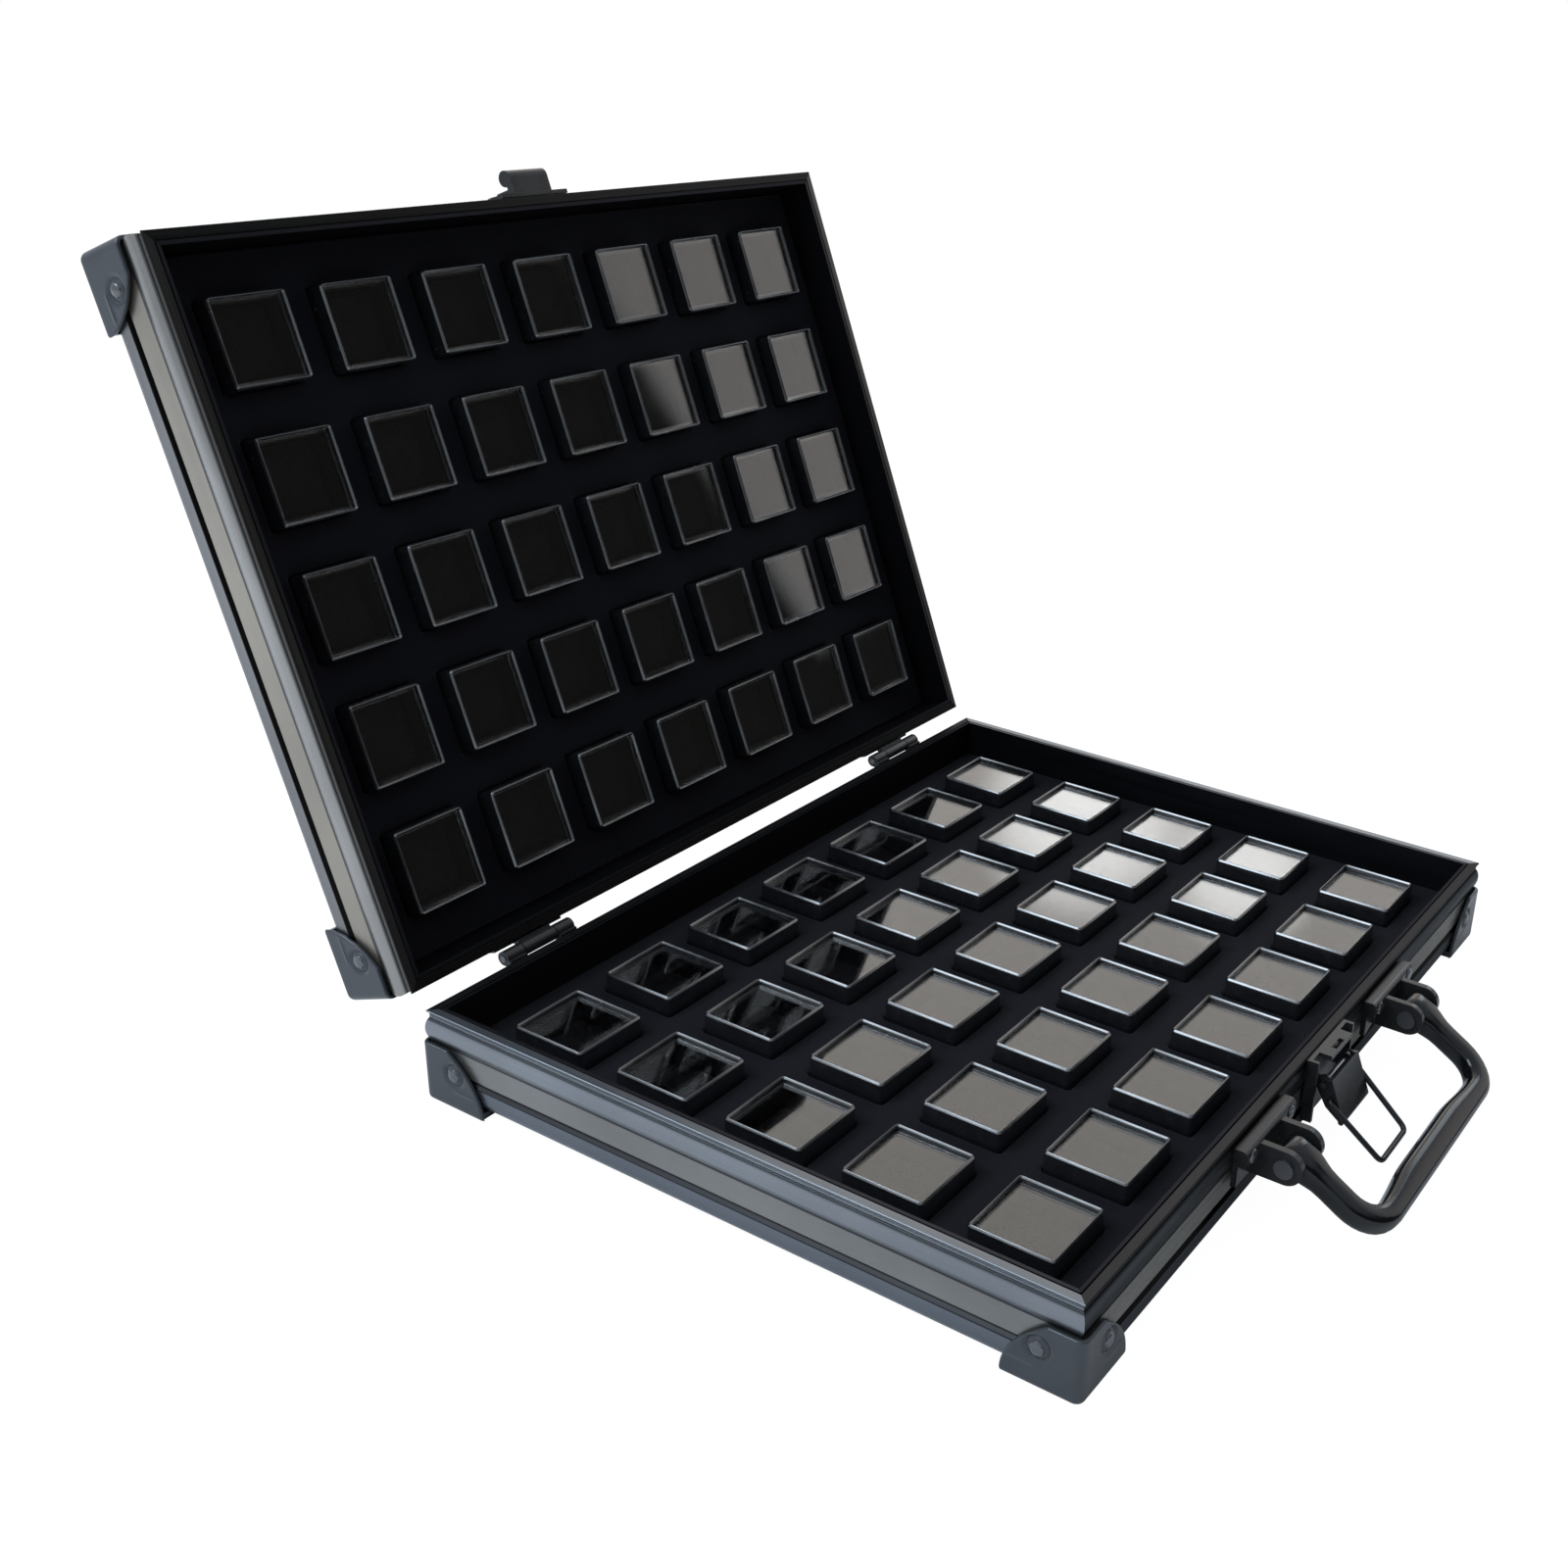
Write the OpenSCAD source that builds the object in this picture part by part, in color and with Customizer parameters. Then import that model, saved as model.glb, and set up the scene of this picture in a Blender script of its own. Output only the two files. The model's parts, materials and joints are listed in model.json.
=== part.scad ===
// Hinged specimen case, shown open: two aluminium halves with foam trays,
// square specimen boxes, corner guards, a carrying handle and a wire latch.
// Lengths are in millimetres and angles in degrees.
// X runs along the hinge, the handle is at -Y and the lid opens towards +Y.
// The origin is the centre of the underside.

/* [Case] */
// Length of the case along its hinge
case_w = 330; // [310:1:420]
// Depth of the case from its front to its hinge side
case_d = 252; // [235:1:320]
// Height of one half from its outer panel to its rim
half_h = 31; // [29:0.5:45]
// Gap between the two rims when the lid is shut
seam_gap = 0.4; // [0.2:0.1:1]
// Angle that the lid stands open
open_angle = 111; // [90:1:115]

/* [Rails] */
// Width of the rim's top face
rail_t = 5.4; // [4.9:0.1:7]
// Thickness of the hollow rail's walls
rail_wall = 1.2; // [0.9:0.1:1.4]
// How far the lower band lies behind the bead's crest
band_in = 0.6; // [0.2:0.1:1]
// How far the flat band lies behind the bead's crest
flat_in = 1; // [0.5:0.1:1.2]
// Radius of the rounded lower edge
edge_r = 4; // [2:0.5:5]
// Height of the groove between the two bands
groove_z = 9.9; // [8:0.1:12]
// Height of the groove
groove_h = 1.2; // [0.5:0.1:1.5]
// Depth of the groove behind the flat band
groove_d = 1; // [0.3:0.1:1]
// Distance from the rim down to the bead
bead_drop = 3; // [2.8:0.1:4]
// Height of the bead
bead_h = 8; // [6:0.5:10]
// How far the ribbed fascia lies behind the bead's crest
fascia_in = 1.4; // [1:0.1:1.6]
// Number of fine ribs on the fascia
fascia_ribs = 3; // [1:1:4]
// How far the fine ribs stand out
rib_out = 0.25; // [0.1:0.05:0.4]
// Height of the rim's outer lip and of the line below it
lip_h = 0.5; // [0.3:0.1:0.6]
// Depth of the line below the lip
lip_line = 2; // [1.5:0.1:2.2]
// How far the lip lies behind the bead's crest
lip_in = 0.5; // [0.2:0.1:1]
// Width of the rim's bright outer flat
rim_flat = 3.1; // [2.5:0.1:3.4]
// Width and depth of the fine groove in the rim's top
rim_groove = 0.6; // [0.3:0.1:0.8]

/* [Panel and tray] */
// Thickness of the outer panel
panel_t = 3.2; // [2.4:0.1:4]
// Thickness of the rail's ledge over the panel's edge
ledge_t = 1.2; // [0.8:0.1:1.5]
// Reach of that ledge from the rail's inner wall
ledge_reach = 3.6; // [2:0.2:5]
// Depth of the foam's surface below the rim
foam_drop = 15; // [12:0.5:18]

/* [Specimen boxes] */
// Number of boxes along the hinge
columns = 7; // [2:1:7]
// Spacing of the boxes along the hinge
pitch_x = 43.5; // [36:0.5:47]
// Spacing of the boxes from front to back
pitch_y = 45.2; // [36:0.2:51]
// Side of one square box
box_w = 30; // [26:1:34]
// Height of one box with its cover
box_h = 16.5; // [14.5:0.5:18]
// Depth of the boxes' tops below the rim
box_drop = 8; // [5:0.5:9]
// Height of a cover
cover_h = 6.5; // [6:0.5:7.5]
// Radius of a box's corners
box_r = 1.6; // [1.5:0.1:4]
// Wall of a cup
cup_wall = 1.3; // [1:0.1:2]
// Thickness of a cup's floor
cup_floor = 1.2; // [0.8:0.1:2]
// Height of the cup's lip inside its cover
cup_lip = 2; // [1:0.5:2.5]
// Wall of a cover
cover_wall = 1; // [0.8:0.1:1.2]
// Width of a cover's raised rim
rim_w = 1.3; // [1.2:0.1:2.4]
// Depth of the window's top below the raised rim
window_drop = 1.3; // [1:0.1:2.2]
// Thickness of a window
window_t = 1.1; // [0.8:0.1:1.4]
// Width of the seat under a window's edge
window_seat = 0.8; // [0.5:0.1:1.5]
// Thickness of a foam pad
pad_t = 6; // [3:0.5:7]

/* [Corner guards] */
// Thickness of a guard's side wings
guard_out = 1.2; // [0.8:0.1:2]
// Thickness of a guard's foot below the case
guard_drop = 2.5; // [1.5:0.1:4]
// Reach of a guard along each side
guard_reach = 25.5; // [22:0.5:34]
// Height of a guard next to the corner
guard_h = 19.5; // [18:0.5:24]
// Length of a guard's level top edge
guard_flat = 12; // [8:0.5:14]
// Place along the side where the slope turns steep
guard_knee = 21; // [19:0.5:21.5]
// Height of that turn
guard_knee_z = 9; // [7:0.5:10]
// Radius of a guard's upright edge
guard_r = 3; // [2:0.5:5]
// Distance from the case's corner to a guard's rivet
guard_rivet = 13.5; // [13:0.5:14]
// Height of a guard's rivet
guard_rivet_z = 11.1; // [10.5:0.1:12]
// Outer radius of the ring round a guard's rivet
ring_r = 4.2; // [3.8:0.1:4.4]
// Height that the ring and the ledge line stand out
emboss = 0.5; // [0.3:0.1:0.8]
// Height of the ledge line below the ring
ledge_line_z = 5.6; // [4:0.1:6]

/* [Hinges] */
// Distance from the case's end to the middle of a hinge
hinge_inset = 55; // [45:1:100]
// Width of a hinge
hinge_w = 32; // [24:1:40]
// Distance from the back face to the hinge pin
hinge_out = 3.6; // [3.3:0.1:5]
// Radius of the hinge barrel
barrel_r = 2.6; // [2.2:0.1:2.9]
// Radius of the hinge pin
hinge_pin_r = 1.25; // [1:0.05:1.5]
// Thickness of a hinge leaf
leaf_t = 1.2; // [1.1:0.1:1.6]
// Reach of a leaf from the hinge pin
leaf_h = 17; // [15:0.5:20]
// Spacing of the rivets in a leaf
leaf_rivets = 10; // [8:0.5:11]
// Distance from the hinge pin to the rivets
leaf_rivet_z = 11; // [8:0.5:12]

/* [Handle] */
// Distance from the case's middle to a handle pivot
handle_x = 54; // [46:1:80]
// Distance from the front face to the handle's pivot
handle_out = 13.5; // [12:0.5:18]
// Height of the handle's pivot
handle_z = 20.5; // [19:0.5:24]
// Slope of the resting handle below level
handle_tilt = 31; // [0:1:31]
// Distance from the pivot to the middle of the grip
handle_reach = 33.4; // [33:0.2:36]
// Thickness of the handle's bar
handle_t = 8.6; // [7:0.2:10]
// Radius of the handle's corners at their middle line
handle_r = 12; // [9:0.5:16]
// Radius of the edges of the handle's section
section_r = 3; // [2:0.2:3.4]
// Radius of the handle's pivot boss
boss_r = 5.2; // [4.8:0.1:6]
// Radius of a handle pin
handle_pin_r = 2; // [1.5:0.1:2.5]
// Radius of a handle pin's heads
pin_head_r = 3.3; // [2.8:0.1:4]
// Thickness of a handle pin's heads
pin_head_t = 1; // [0.6:0.1:1.5]

/* [Handle brackets] */
// Width of a bracket
bracket_w = 37; // [36:1:44]
// Thickness of a bracket's back plate
bracket_t = 2; // [1.5:0.1:2.5]
// Lowest edge of a bracket
bracket_low = 14; // [13:0.5:15]
// Thickness of a bracket's top bar
bar_t = 5; // [4:0.5:6]
// Height of a bracket's top bar
bar_h = 6; // [5:0.5:7]
// Distance from the rim down to the top bar
bar_drop = 3; // [2:0.5:3.5]
// Radius of the top bar's outer edges
bar_r = 2; // [1:0.2:2.4]
// Thickness of an ear
ear_t = 2.5; // [2:0.1:3]
// Clear space between two ears
ear_gap = 13; // [12:0.5:15]
// Radius of an ear round the pivot
ear_r = 6; // [5.4:0.1:6.4]
// Distance from a bracket's middle to a rivet
bracket_rivet = 14.5; // [14:0.5:15.5]

/* [Latch] */
// Width of the latch plate
plate_w = 32; // [32:1:36]
// Thickness of the latch plate
plate_t = 1.5; // [1:0.1:1.8]
// Lowest edge of the latch plate
plate_low = 7; // [5:0.5:8]
// Distance from the rim down to the latch plate's top
plate_drop = 0.7; // [0.5:0.1:1.5]
// Depth of the plate's folded sides
flange_out = 4; // [2.5:0.1:4.2]
// Width of the plate's ledge
ledge_w = 18; // [12:1:19]
// Reach of the plate's ledge from the front face
ledge_out = 6; // [5:0.1:6]
// Width of the slot in that ledge
slot_w = 7; // [4:0.5:9]
// Depth of that slot
slot_d = 2; // [1:0.1:2.4]
// Distance from the front face to the lever's pin
lever_out = 5; // [5:0.1:5.5]
// Height of the lever's pin
lever_z = 20; // [19:0.5:21]
// Radius of the lever's pin
lever_pin_r = 1.2; // [0.9:0.1:1.3]
// Slope of the resting lever from upright
lever_tilt = 22; // [15:1:30]
// Width of the lever
lever_w = 23.2; // [23.2:0.1:23.4]
// Length of the lever below its pin
lever_l = 14; // [13:0.5:17]
// Thickness of the lever's sheet
lever_t = 1.2; // [0.9:0.1:1.3]
// Thickness of the lever's side wings
wing_t = 1.6; // [1:0.1:1.6]
// Distance from the lever's pin to its face
lever_face = 3.9; // [3.9:0.1:4.2]
// Radius of the ears and wings round the lever's pin
lever_ear_r = 2.5; // [2.2:0.1:2.55]
// Height of the plate's ears above the lever's pin
plate_ear_rise = 1.6; // [1.4:0.1:1.8]
// Thickness of the plate's ears
plate_ear_t = 1.6; // [1:0.1:2]
// Distance down the lever from its pin to the wire
wire_down = 5.5; // [5:0.1:6]
// Distance outwards from the lever's pin to the wire
wire_out = 1.5; // [1:0.1:1.7]
// Slope of the resting wire below level
wire_tilt = 39.3; // [0:0.1:39.5]
// Length of the wire loop
wire_l = 26; // [22:0.5:26.4]
// Half width of the wire loop at the lever
wire_half = 13.2; // [13.1:0.1:13.4]
// Half width of the wire loop at its end
wire_end_half = 11.5; // [10.8:0.1:12.6]
// Radius of the wire
wire_r = 1; // [0.8:0.05:1]

/* [Lid catch] */
// Width of the catch's plate
catch_w = 33; // [30:1:38]
// Distance from the seam to the catch's plate
catch_drop = 1.8; // [1:0.1:2.4]
// Height of the catch's plate
catch_h = 12; // [11:0.5:14]
// Width of the catch's hook
hook_w = 19; // [14:0.5:19]
// Distance from the front face to the hook's rolled edge
hook_out = 7.5; // [7:0.1:7.8]
// Height of the rolled edge above the seam
hook_up = 5.6; // [5:0.1:5.8]
// Radius of the hook's rolled edge
hook_r = 3; // [2.4:0.1:3]
// Thickness of the hook's raised back
hook_back = 3.5; // [2:0.1:3.6]

/* [Rivets] */
// Radius of a rivet's shank
rivet_r = 1.5; // [1:0.1:1.8]
// Radius of a rivet's head
rivet_head_r = 2.4; // [2:0.1:2.8]
// Height of a rivet's head
rivet_head_h = 0.9; // [0.6:0.1:1.2]

/* [Clearances] */
// Gap round pieces that are fitted together and stay
fit_gap = 0.05; // [0.02:0.01:0.1]
// Radial gap of a turning fit
run_gap = 0.08; // [0.03:0.01:0.1]
// Gap round a box, a cover or the foam
slip_gap = 0.3; // [0.2:0.05:0.4]
// Side gap beside a turning piece
side_gap = 0.4; // [0.3:0.05:0.6]

/* [Hidden] */
rows = 5;
front_y = -case_d / 2;
back_y = case_d / 2;
seam_z = half_h + seam_gap / 2;
hinge_x = case_w / 2 - hinge_inset;
hinge_y = back_y + hinge_out;

// Rail section levels
bead_top = half_h - bead_drop;
bead_low = bead_top - bead_h;
bead_round = (bead_h * bead_h / 4 + flat_in * flat_in) / (2 * flat_in);
bead_half_angle = asin(bead_h / 2 / bead_round);
lip_z = half_h - lip_h;
line_z = lip_z - 0.3;
rib_pitch = (line_z - bead_top) / fascia_ribs;
ledge_in = rail_t + ledge_reach;
panel_lip = panel_t - ledge_t;
chamber_in = flat_in + groove_d + 0.9;
chamber_out = rail_t - rail_wall;
chamber_low = edge_r * 0.7;
band_top = groove_z - groove_h;

// Tray and specimen box levels
foam_z = half_h - foam_drop;
box_top = half_h - box_drop;
box_low = box_top - box_h;
cover_low = box_top - cover_h;
cup_in = box_w - 2 * cup_wall - 2 * cover_wall;
pad_top = box_low + cup_floor + pad_t;
window_top = box_top - window_drop;
window_low = window_top - window_t;
seat_low = window_low - 0.6;
recess_w = box_w - 2 * rim_w;
sample_column = 0;
sample_row = 0;
corner_steps = 3;

// Handle, brackets and latch places
pivot_y = front_y - handle_out;
bar_top = half_h - bar_drop;
bar_low = bar_top - bar_h;
bracket_rivet_z = bar_top - bar_h / 2;
boss_w = ear_gap - 2 * side_gap;
corner_y = handle_reach - handle_r;
corner_x = handle_x - handle_r;
lever_y = front_y - lever_out;
plate_top = half_h - plate_drop;
plate_rivet_x = plate_w / 2 - plate_t - rivet_head_r - slip_gap;
plate_rivet_low = plate_low + 3.6;
plate_rivet_high = plate_top - 5;
wing_in = lever_w / 2 - wing_t;
plate_ear_in = wing_in - side_gap - plate_ear_t;
catch_low = seam_z + catch_drop;
catch_rivet_x = catch_w / 2 - 3.2;
catch_rivet_z = catch_low + catch_h - 3.4;
hook_z = seam_z + hook_up;

// Rivet places along each rail, as distance from its middle and height
rivet_tail = 3;
leaf_rivet_rise = seam_z - leaf_rivet_z;
hinge_rivets = [for (side = [-1, 1]) for (step = [-1, 0, 1])
    [side * hinge_x + step * leaf_rivets, leaf_rivet_rise]];
bracket_rivets = [for (side = [-1, 1]) for (step = [-1, 1])
    [side * handle_x + step * bracket_rivet, bracket_rivet_z]];
plate_rivets = [for (side = [-1, 1]) for (level = [plate_rivet_low, plate_rivet_high])
    [side * plate_rivet_x, level]];
catch_rivets = [for (side = [-1, 1]) [side * catch_rivet_x, 2 * seam_z - catch_rivet_z]];

// Points of an arc from one angle to another
function arc(cx, cy, r, from, to, steps) =
    [for (i = [0:steps]) let (a = from + (to - from) * i / steps)
        [cx + r * cos(a), cy + r * sin(a)]];

// Outline of a rectangle with rounded corners, centred on the origin
function rounded(w, h, r, steps) = concat(
    arc(w / 2 - r, h / 2 - r, r, 0, 90, steps),
    arc(r - w / 2, h / 2 - r, r, 90, 180, steps),
    arc(r - w / 2, r - h / 2, r, 180, 270, steps),
    arc(w / 2 - r, r - h / 2, r, 270, 360, steps));

module rounded_block(w, r, low, high)
    translate([0, 0, low])
        linear_extrude(high - low)
            polygon(rounded(w, w, r, corner_steps));

// A round rod from one point to another
module rod(from, to, r) {
    way = to - from;
    translate(from)
        rotate([0, acos(way[2] / norm(way)), atan2(way[1], way[0])])
            cylinder(r = r, h = norm(way), $fn = 32);
}

// A round rod along X, centred on the origin
module cross_rod(r, length)
    rotate([0, 90, 0])
        cylinder(r = r, h = length, center = true, $fn = 48);

// Moves what is drawn on the shut lid to the open lid
module lid_swing()
    translate([0, hinge_y, seam_z])
        rotate([-open_angle, 0, 0])
            translate([0, -hinge_y, -seam_z])
                children();

// Turns a base piece into the lid's piece over it
module lid_flip()
    lid_swing()
        translate([0, 0, 2 * seam_z])
            mirror([0, 0, 1])
                children();

// Rails
module rail_section()
    difference() {
        polygon(concat(
            [[rail_t, 0]],
            arc(band_in + edge_r, edge_r, edge_r, 270, 180, 6),
            [[band_in, band_top - 0.3],
             [flat_in + groove_d, groove_z - groove_h / 3],
             [flat_in + groove_d, groove_z + groove_h / 3],
             [flat_in, groove_z + groove_h / 2]],
            arc(bead_round, bead_low + bead_h / 2, bead_round,
                180 + bead_half_angle, 180 - bead_half_angle, 8),
            [for (i = [0:fascia_ribs - 1]) each
                [[fascia_in, bead_top + i * rib_pitch],
                 [fascia_in, bead_top + (i + 0.45) * rib_pitch],
                 [fascia_in - rib_out, bead_top + (i + 0.6) * rib_pitch],
                 [fascia_in - rib_out, bead_top + (i + 0.85) * rib_pitch]]],
            [[lip_line, line_z],
             [lip_line, lip_z],
             [lip_in, lip_z],
             [lip_in, half_h - 0.2],
             [lip_in + 0.2, half_h],
             [lip_in + rim_flat, half_h],
             [lip_in + rim_flat, half_h - rim_groove],
             [lip_in + rim_flat + rim_groove, half_h - rim_groove],
             [lip_in + rim_flat + rim_groove, half_h],
             [rail_t, half_h],
             [rail_t, panel_t],
             [ledge_in, panel_t],
             [ledge_in, panel_lip],
             [rail_t, panel_lip]]));
        polygon([[chamber_in, groove_z + 2], [chamber_out, groove_z + 2],
                 [chamber_out, bead_top], [chamber_in, bead_top]]);
        polygon([[chamber_in, chamber_low], [chamber_out, chamber_low],
                 [chamber_out, band_top], [chamber_in, band_top]]);
    }

function guard_holes(length) =
    [for (side = [-1, 1]) [side * (length / 2 - guard_rivet), guard_rivet_z]];

// One rail along X with its outer face on y = 0, mitred at both ends
module rail(length, holes) {
    margin = 2;
    color([0.13, 0.14, 0.15])
    difference() {
        intersection() {
            translate([-length / 2, 0, 0])
                rotate([90, 0, 90])
                    linear_extrude(length)
                        rail_section();
            linear_extrude(half_h)
                polygon([[-length / 2 - margin + fit_gap, -margin],
                         [length / 2 + margin - fit_gap, -margin],
                         [length / 2 - ledge_in - margin - fit_gap, ledge_in + margin],
                         [ledge_in + margin + fit_gap - length / 2, ledge_in + margin]]);
        }
        for (h = holes)
            translate([h[0], -margin, h[1]])
                rotate([-90, 0, 0])
                    cylinder(r = rivet_r + fit_gap, h = chamber_out + margin, $fn = 32);
    }
}

module front_rail(holes)
    translate([0, front_y, 0])
        rail(case_w, concat(guard_holes(case_w), holes));

module back_rail()
    translate([0, back_y, 0])
        rotate([0, 0, 180])
            rail(case_w, concat(guard_holes(case_w), hinge_rivets));

module side_rail(side)
    translate([side * case_w / 2, 0, 0])
        rotate([0, 0, side * 90])
            rail(case_d, guard_holes(case_d));

// Panel and foam tray
module slab(inset, low, high)
    translate([inset - case_w / 2, inset - case_d / 2, low])
        cube([case_w - 2 * inset, case_d - 2 * inset, high - low]);

module panel()
    color([0.16, 0.17, 0.18]) {
        slab(rail_t + fit_gap, 0, panel_lip - fit_gap);
        slab(ledge_in + fit_gap, 0, panel_t);
    }

function place(column, row) =
    [(column - (columns - 1) / 2) * pitch_x, (row - (rows - 1) / 2) * pitch_y, 0];

module foam_tray()
    color([0.05, 0.05, 0.06])
    difference() {
        slab(rail_t + slip_gap, panel_t, foam_z);
        for (column = [0:columns - 1])
            for (row = [0:rows - 1])
                translate(place(column, row) + [0, 0, box_low + foam_z])
                    cube([box_w + 2 * slip_gap, box_w + 2 * slip_gap, 2 * foam_z], center = true);
    }

// One specimen box in its pocket, in four pieces
module cup()
    color([0.08, 0.085, 0.09])
    difference() {
        union() {
            rounded_block(box_w, box_r, box_low, cover_low);
            rounded_block(cup_in + 2 * cup_wall - 2 * slip_gap, box_r - cover_wall,
                          cover_low - 1, cover_low + cup_lip);
        }
        rounded_block(cup_in - 2 * slip_gap, box_r - cover_wall - 0.4,
                      box_low + cup_floor, cover_low + cup_lip + 1);
    }

module cover()
    color([0.1, 0.105, 0.11])
    difference() {
        rounded_block(box_w, box_r, cover_low, box_top);
        rounded_block(box_w - 2 * cover_wall, box_r - cover_wall, cover_low - 1, seat_low);
        rounded_block(recess_w - 2 * window_seat, 1, seat_low - 1, window_low + 1);
        rounded_block(recess_w, 1, window_low, box_top + 1);
    }

module window()
    color([0.55, 0.55, 0.52, 0.5])
    rounded_block(recess_w - 2 * fit_gap, 1, window_low, window_top);

module pad()
    color([0.04, 0.04, 0.045])
    rounded_block(cup_in - 4 * slip_gap, 1, box_low + cup_floor, pad_top);

// A row or a whole grid of one box piece, with or without the sample's place
module box_row(row, skip_sample)
    for (column = [0:columns - 1])
        if (!(skip_sample && row == sample_row && column == sample_column))
            translate(place(column, row))
                children();

module box_grid(skip_sample)
    for (row = [0:rows - 1])
        box_row(row, skip_sample)
            children();

module at_sample()
    translate(place(sample_column, sample_row))
        children();

// Rivets
module rivet(grip)
    union() {
        rotate_extrude($fn = 32)
            polygon(concat([[0, 0], [rivet_head_r, 0]],
                [for (a = [20:20:80]) [rivet_head_r * cos(a), rivet_head_h * sin(a)]],
                [[0, rivet_head_h]]));
        translate([0, 0, -grip - rivet_tail])
            cylinder(r = rivet_r, h = grip + rivet_tail, $fn = 32);
    }

module front_rivets(places, grip)
    for (p = places)
        translate([p[0], front_y - grip, p[1]])
            rotate([90, 0, 0])
                rivet(grip);

module back_rivets(places, grip)
    for (p = places)
        translate([p[0], back_y + grip, p[1]])
            rotate([-90, 0, 0])
                rivet(grip);

// Corner guards, drawn for a corner at the origin with the case towards +X and +Y
module guard_rib(reach)
    polygon([[-guard_out - 1, -guard_drop], [reach, -guard_drop],
             [guard_knee, guard_knee_z], [guard_flat, guard_h],
             [-guard_out - 1, guard_h]]);

module on_guard_wings() {
    translate([guard_rivet, -guard_out, guard_rivet_z])
        rotate([90, 0, 0])
            children();
    translate([-guard_out, guard_rivet, guard_rivet_z])
        rotate([0, -90, 0])
            children();
}

module ring()
    difference() {
        translate([0, 0, -guard_out / 2])
            cylinder(r = ring_r, h = guard_out / 2 + emboss, $fn = 48);
        translate([0, 0, -guard_out])
            cylinder(r = ring_r - 1, h = guard_out + 2 * emboss, $fn = 48);
    }

module guard() {
    span = guard_reach + guard_out + 2;
    line_l = guard_reach - guard_flat - 2;
    color([0.09, 0.095, 0.1])
    difference() {
        union() {
            difference() {
                intersection() {
                    translate([0, 0, -guard_drop])
                        linear_extrude(guard_h + guard_drop)
                            polygon(concat(
                                arc(guard_r - guard_out, guard_r - guard_out, guard_r, 180, 270, 5),
                                [[guard_reach, -guard_out], [guard_reach, rail_t],
                                 [rail_t, rail_t], [rail_t, guard_reach],
                                 [-guard_out, guard_reach]]));
                    translate([0, span, 0])
                        rotate([90, 0, 0])
                            linear_extrude(2 * span)
                                guard_rib(guard_reach);
                    translate([-span, 0, 0])
                        rotate([90, 0, 90])
                            linear_extrude(2 * span)
                                guard_rib(guard_reach);
                }
                cube([span, span, guard_h + 1]);
            }
            on_guard_wings()
                ring();
            translate([guard_flat - 1, -guard_out - emboss, ledge_line_z])
                cube([line_l, guard_out, 0.8]);
            translate([-guard_out - emboss, guard_flat - 1, ledge_line_z])
                cube([guard_out, line_l, 0.8]);
        }
        on_guard_wings()
            translate([0, 0, -guard_out - 1])
                cylinder(r = rivet_r + fit_gap, h = guard_out + 2, $fn = 32);
    }
}

module at_corner(side_x, side_y, turn)
    translate([side_x * case_w / 2, side_y * case_d / 2, 0])
        rotate([0, 0, turn])
            children();

module guard_front_left() at_corner(-1, -1, 0) guard();
module guard_front_right() at_corner(1, -1, 90) guard();
module guard_back_right() at_corner(1, 1, 180) guard();
module guard_back_left() at_corner(-1, 1, 270) guard();

module guard_rivets()
    color([0.2, 0.2, 0.21]) {
        at_corner(-1, -1, 0) on_guard_wings() rivet(guard_out);
        at_corner(1, -1, 90) on_guard_wings() rivet(guard_out);
        at_corner(1, 1, 180) on_guard_wings() rivet(guard_out);
        at_corner(-1, 1, 270) on_guard_wings() rivet(guard_out);
    }

// Hinges, drawn below the seam at the back of the base
module knuckle(from, to)
    translate([0, hinge_y, seam_z]) {
        translate([(from + to) / 2, 0, 0])
            cross_rod(barrel_r, to - from);
        translate([from, -hinge_out, -barrel_r])
            cube([to - from, hinge_out, 1]);
        translate([from, -hinge_out, -barrel_r - side_gap - 1])
            cube([to - from, leaf_t, barrel_r + side_gap + 1]);
    }

module leaf(spans, bore_gap)
    color([0.15, 0.155, 0.165])
    difference() {
        union() {
            for (s = spans)
                knuckle(s[0], s[1]);
            translate([-hinge_w / 2, back_y, seam_z - leaf_h])
                cube([hinge_w, leaf_t, leaf_h - barrel_r - side_gap - 0.4]);
        }
        translate([0, hinge_y, seam_z])
            cross_rod(hinge_pin_r + bore_gap, hinge_w + 2);
        for (step = [-1, 0, 1])
            translate([step * leaf_rivets, back_y - 1, leaf_rivet_rise])
                rotate([-90, 0, 0])
                    cylinder(r = rivet_r + fit_gap, h = leaf_t + 2, $fn = 32);
    }

module base_leaf(side)
    translate([side * hinge_x, 0, 0])
        leaf([[-hinge_w / 2, -hinge_w / 4], [hinge_w / 4, hinge_w / 2]], fit_gap);

module lid_leaf(side)
    lid_flip()
        translate([side * hinge_x, 0, 0])
            leaf([[side_gap - hinge_w / 4, hinge_w / 4 - side_gap]], run_gap);

module hinge_pins()
    color([0.3, 0.3, 0.32])
    for (side = [-1, 1])
        translate([side * hinge_x, hinge_y, seam_z])
            cross_rod(hinge_pin_r, hinge_w + 0.6);

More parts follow.
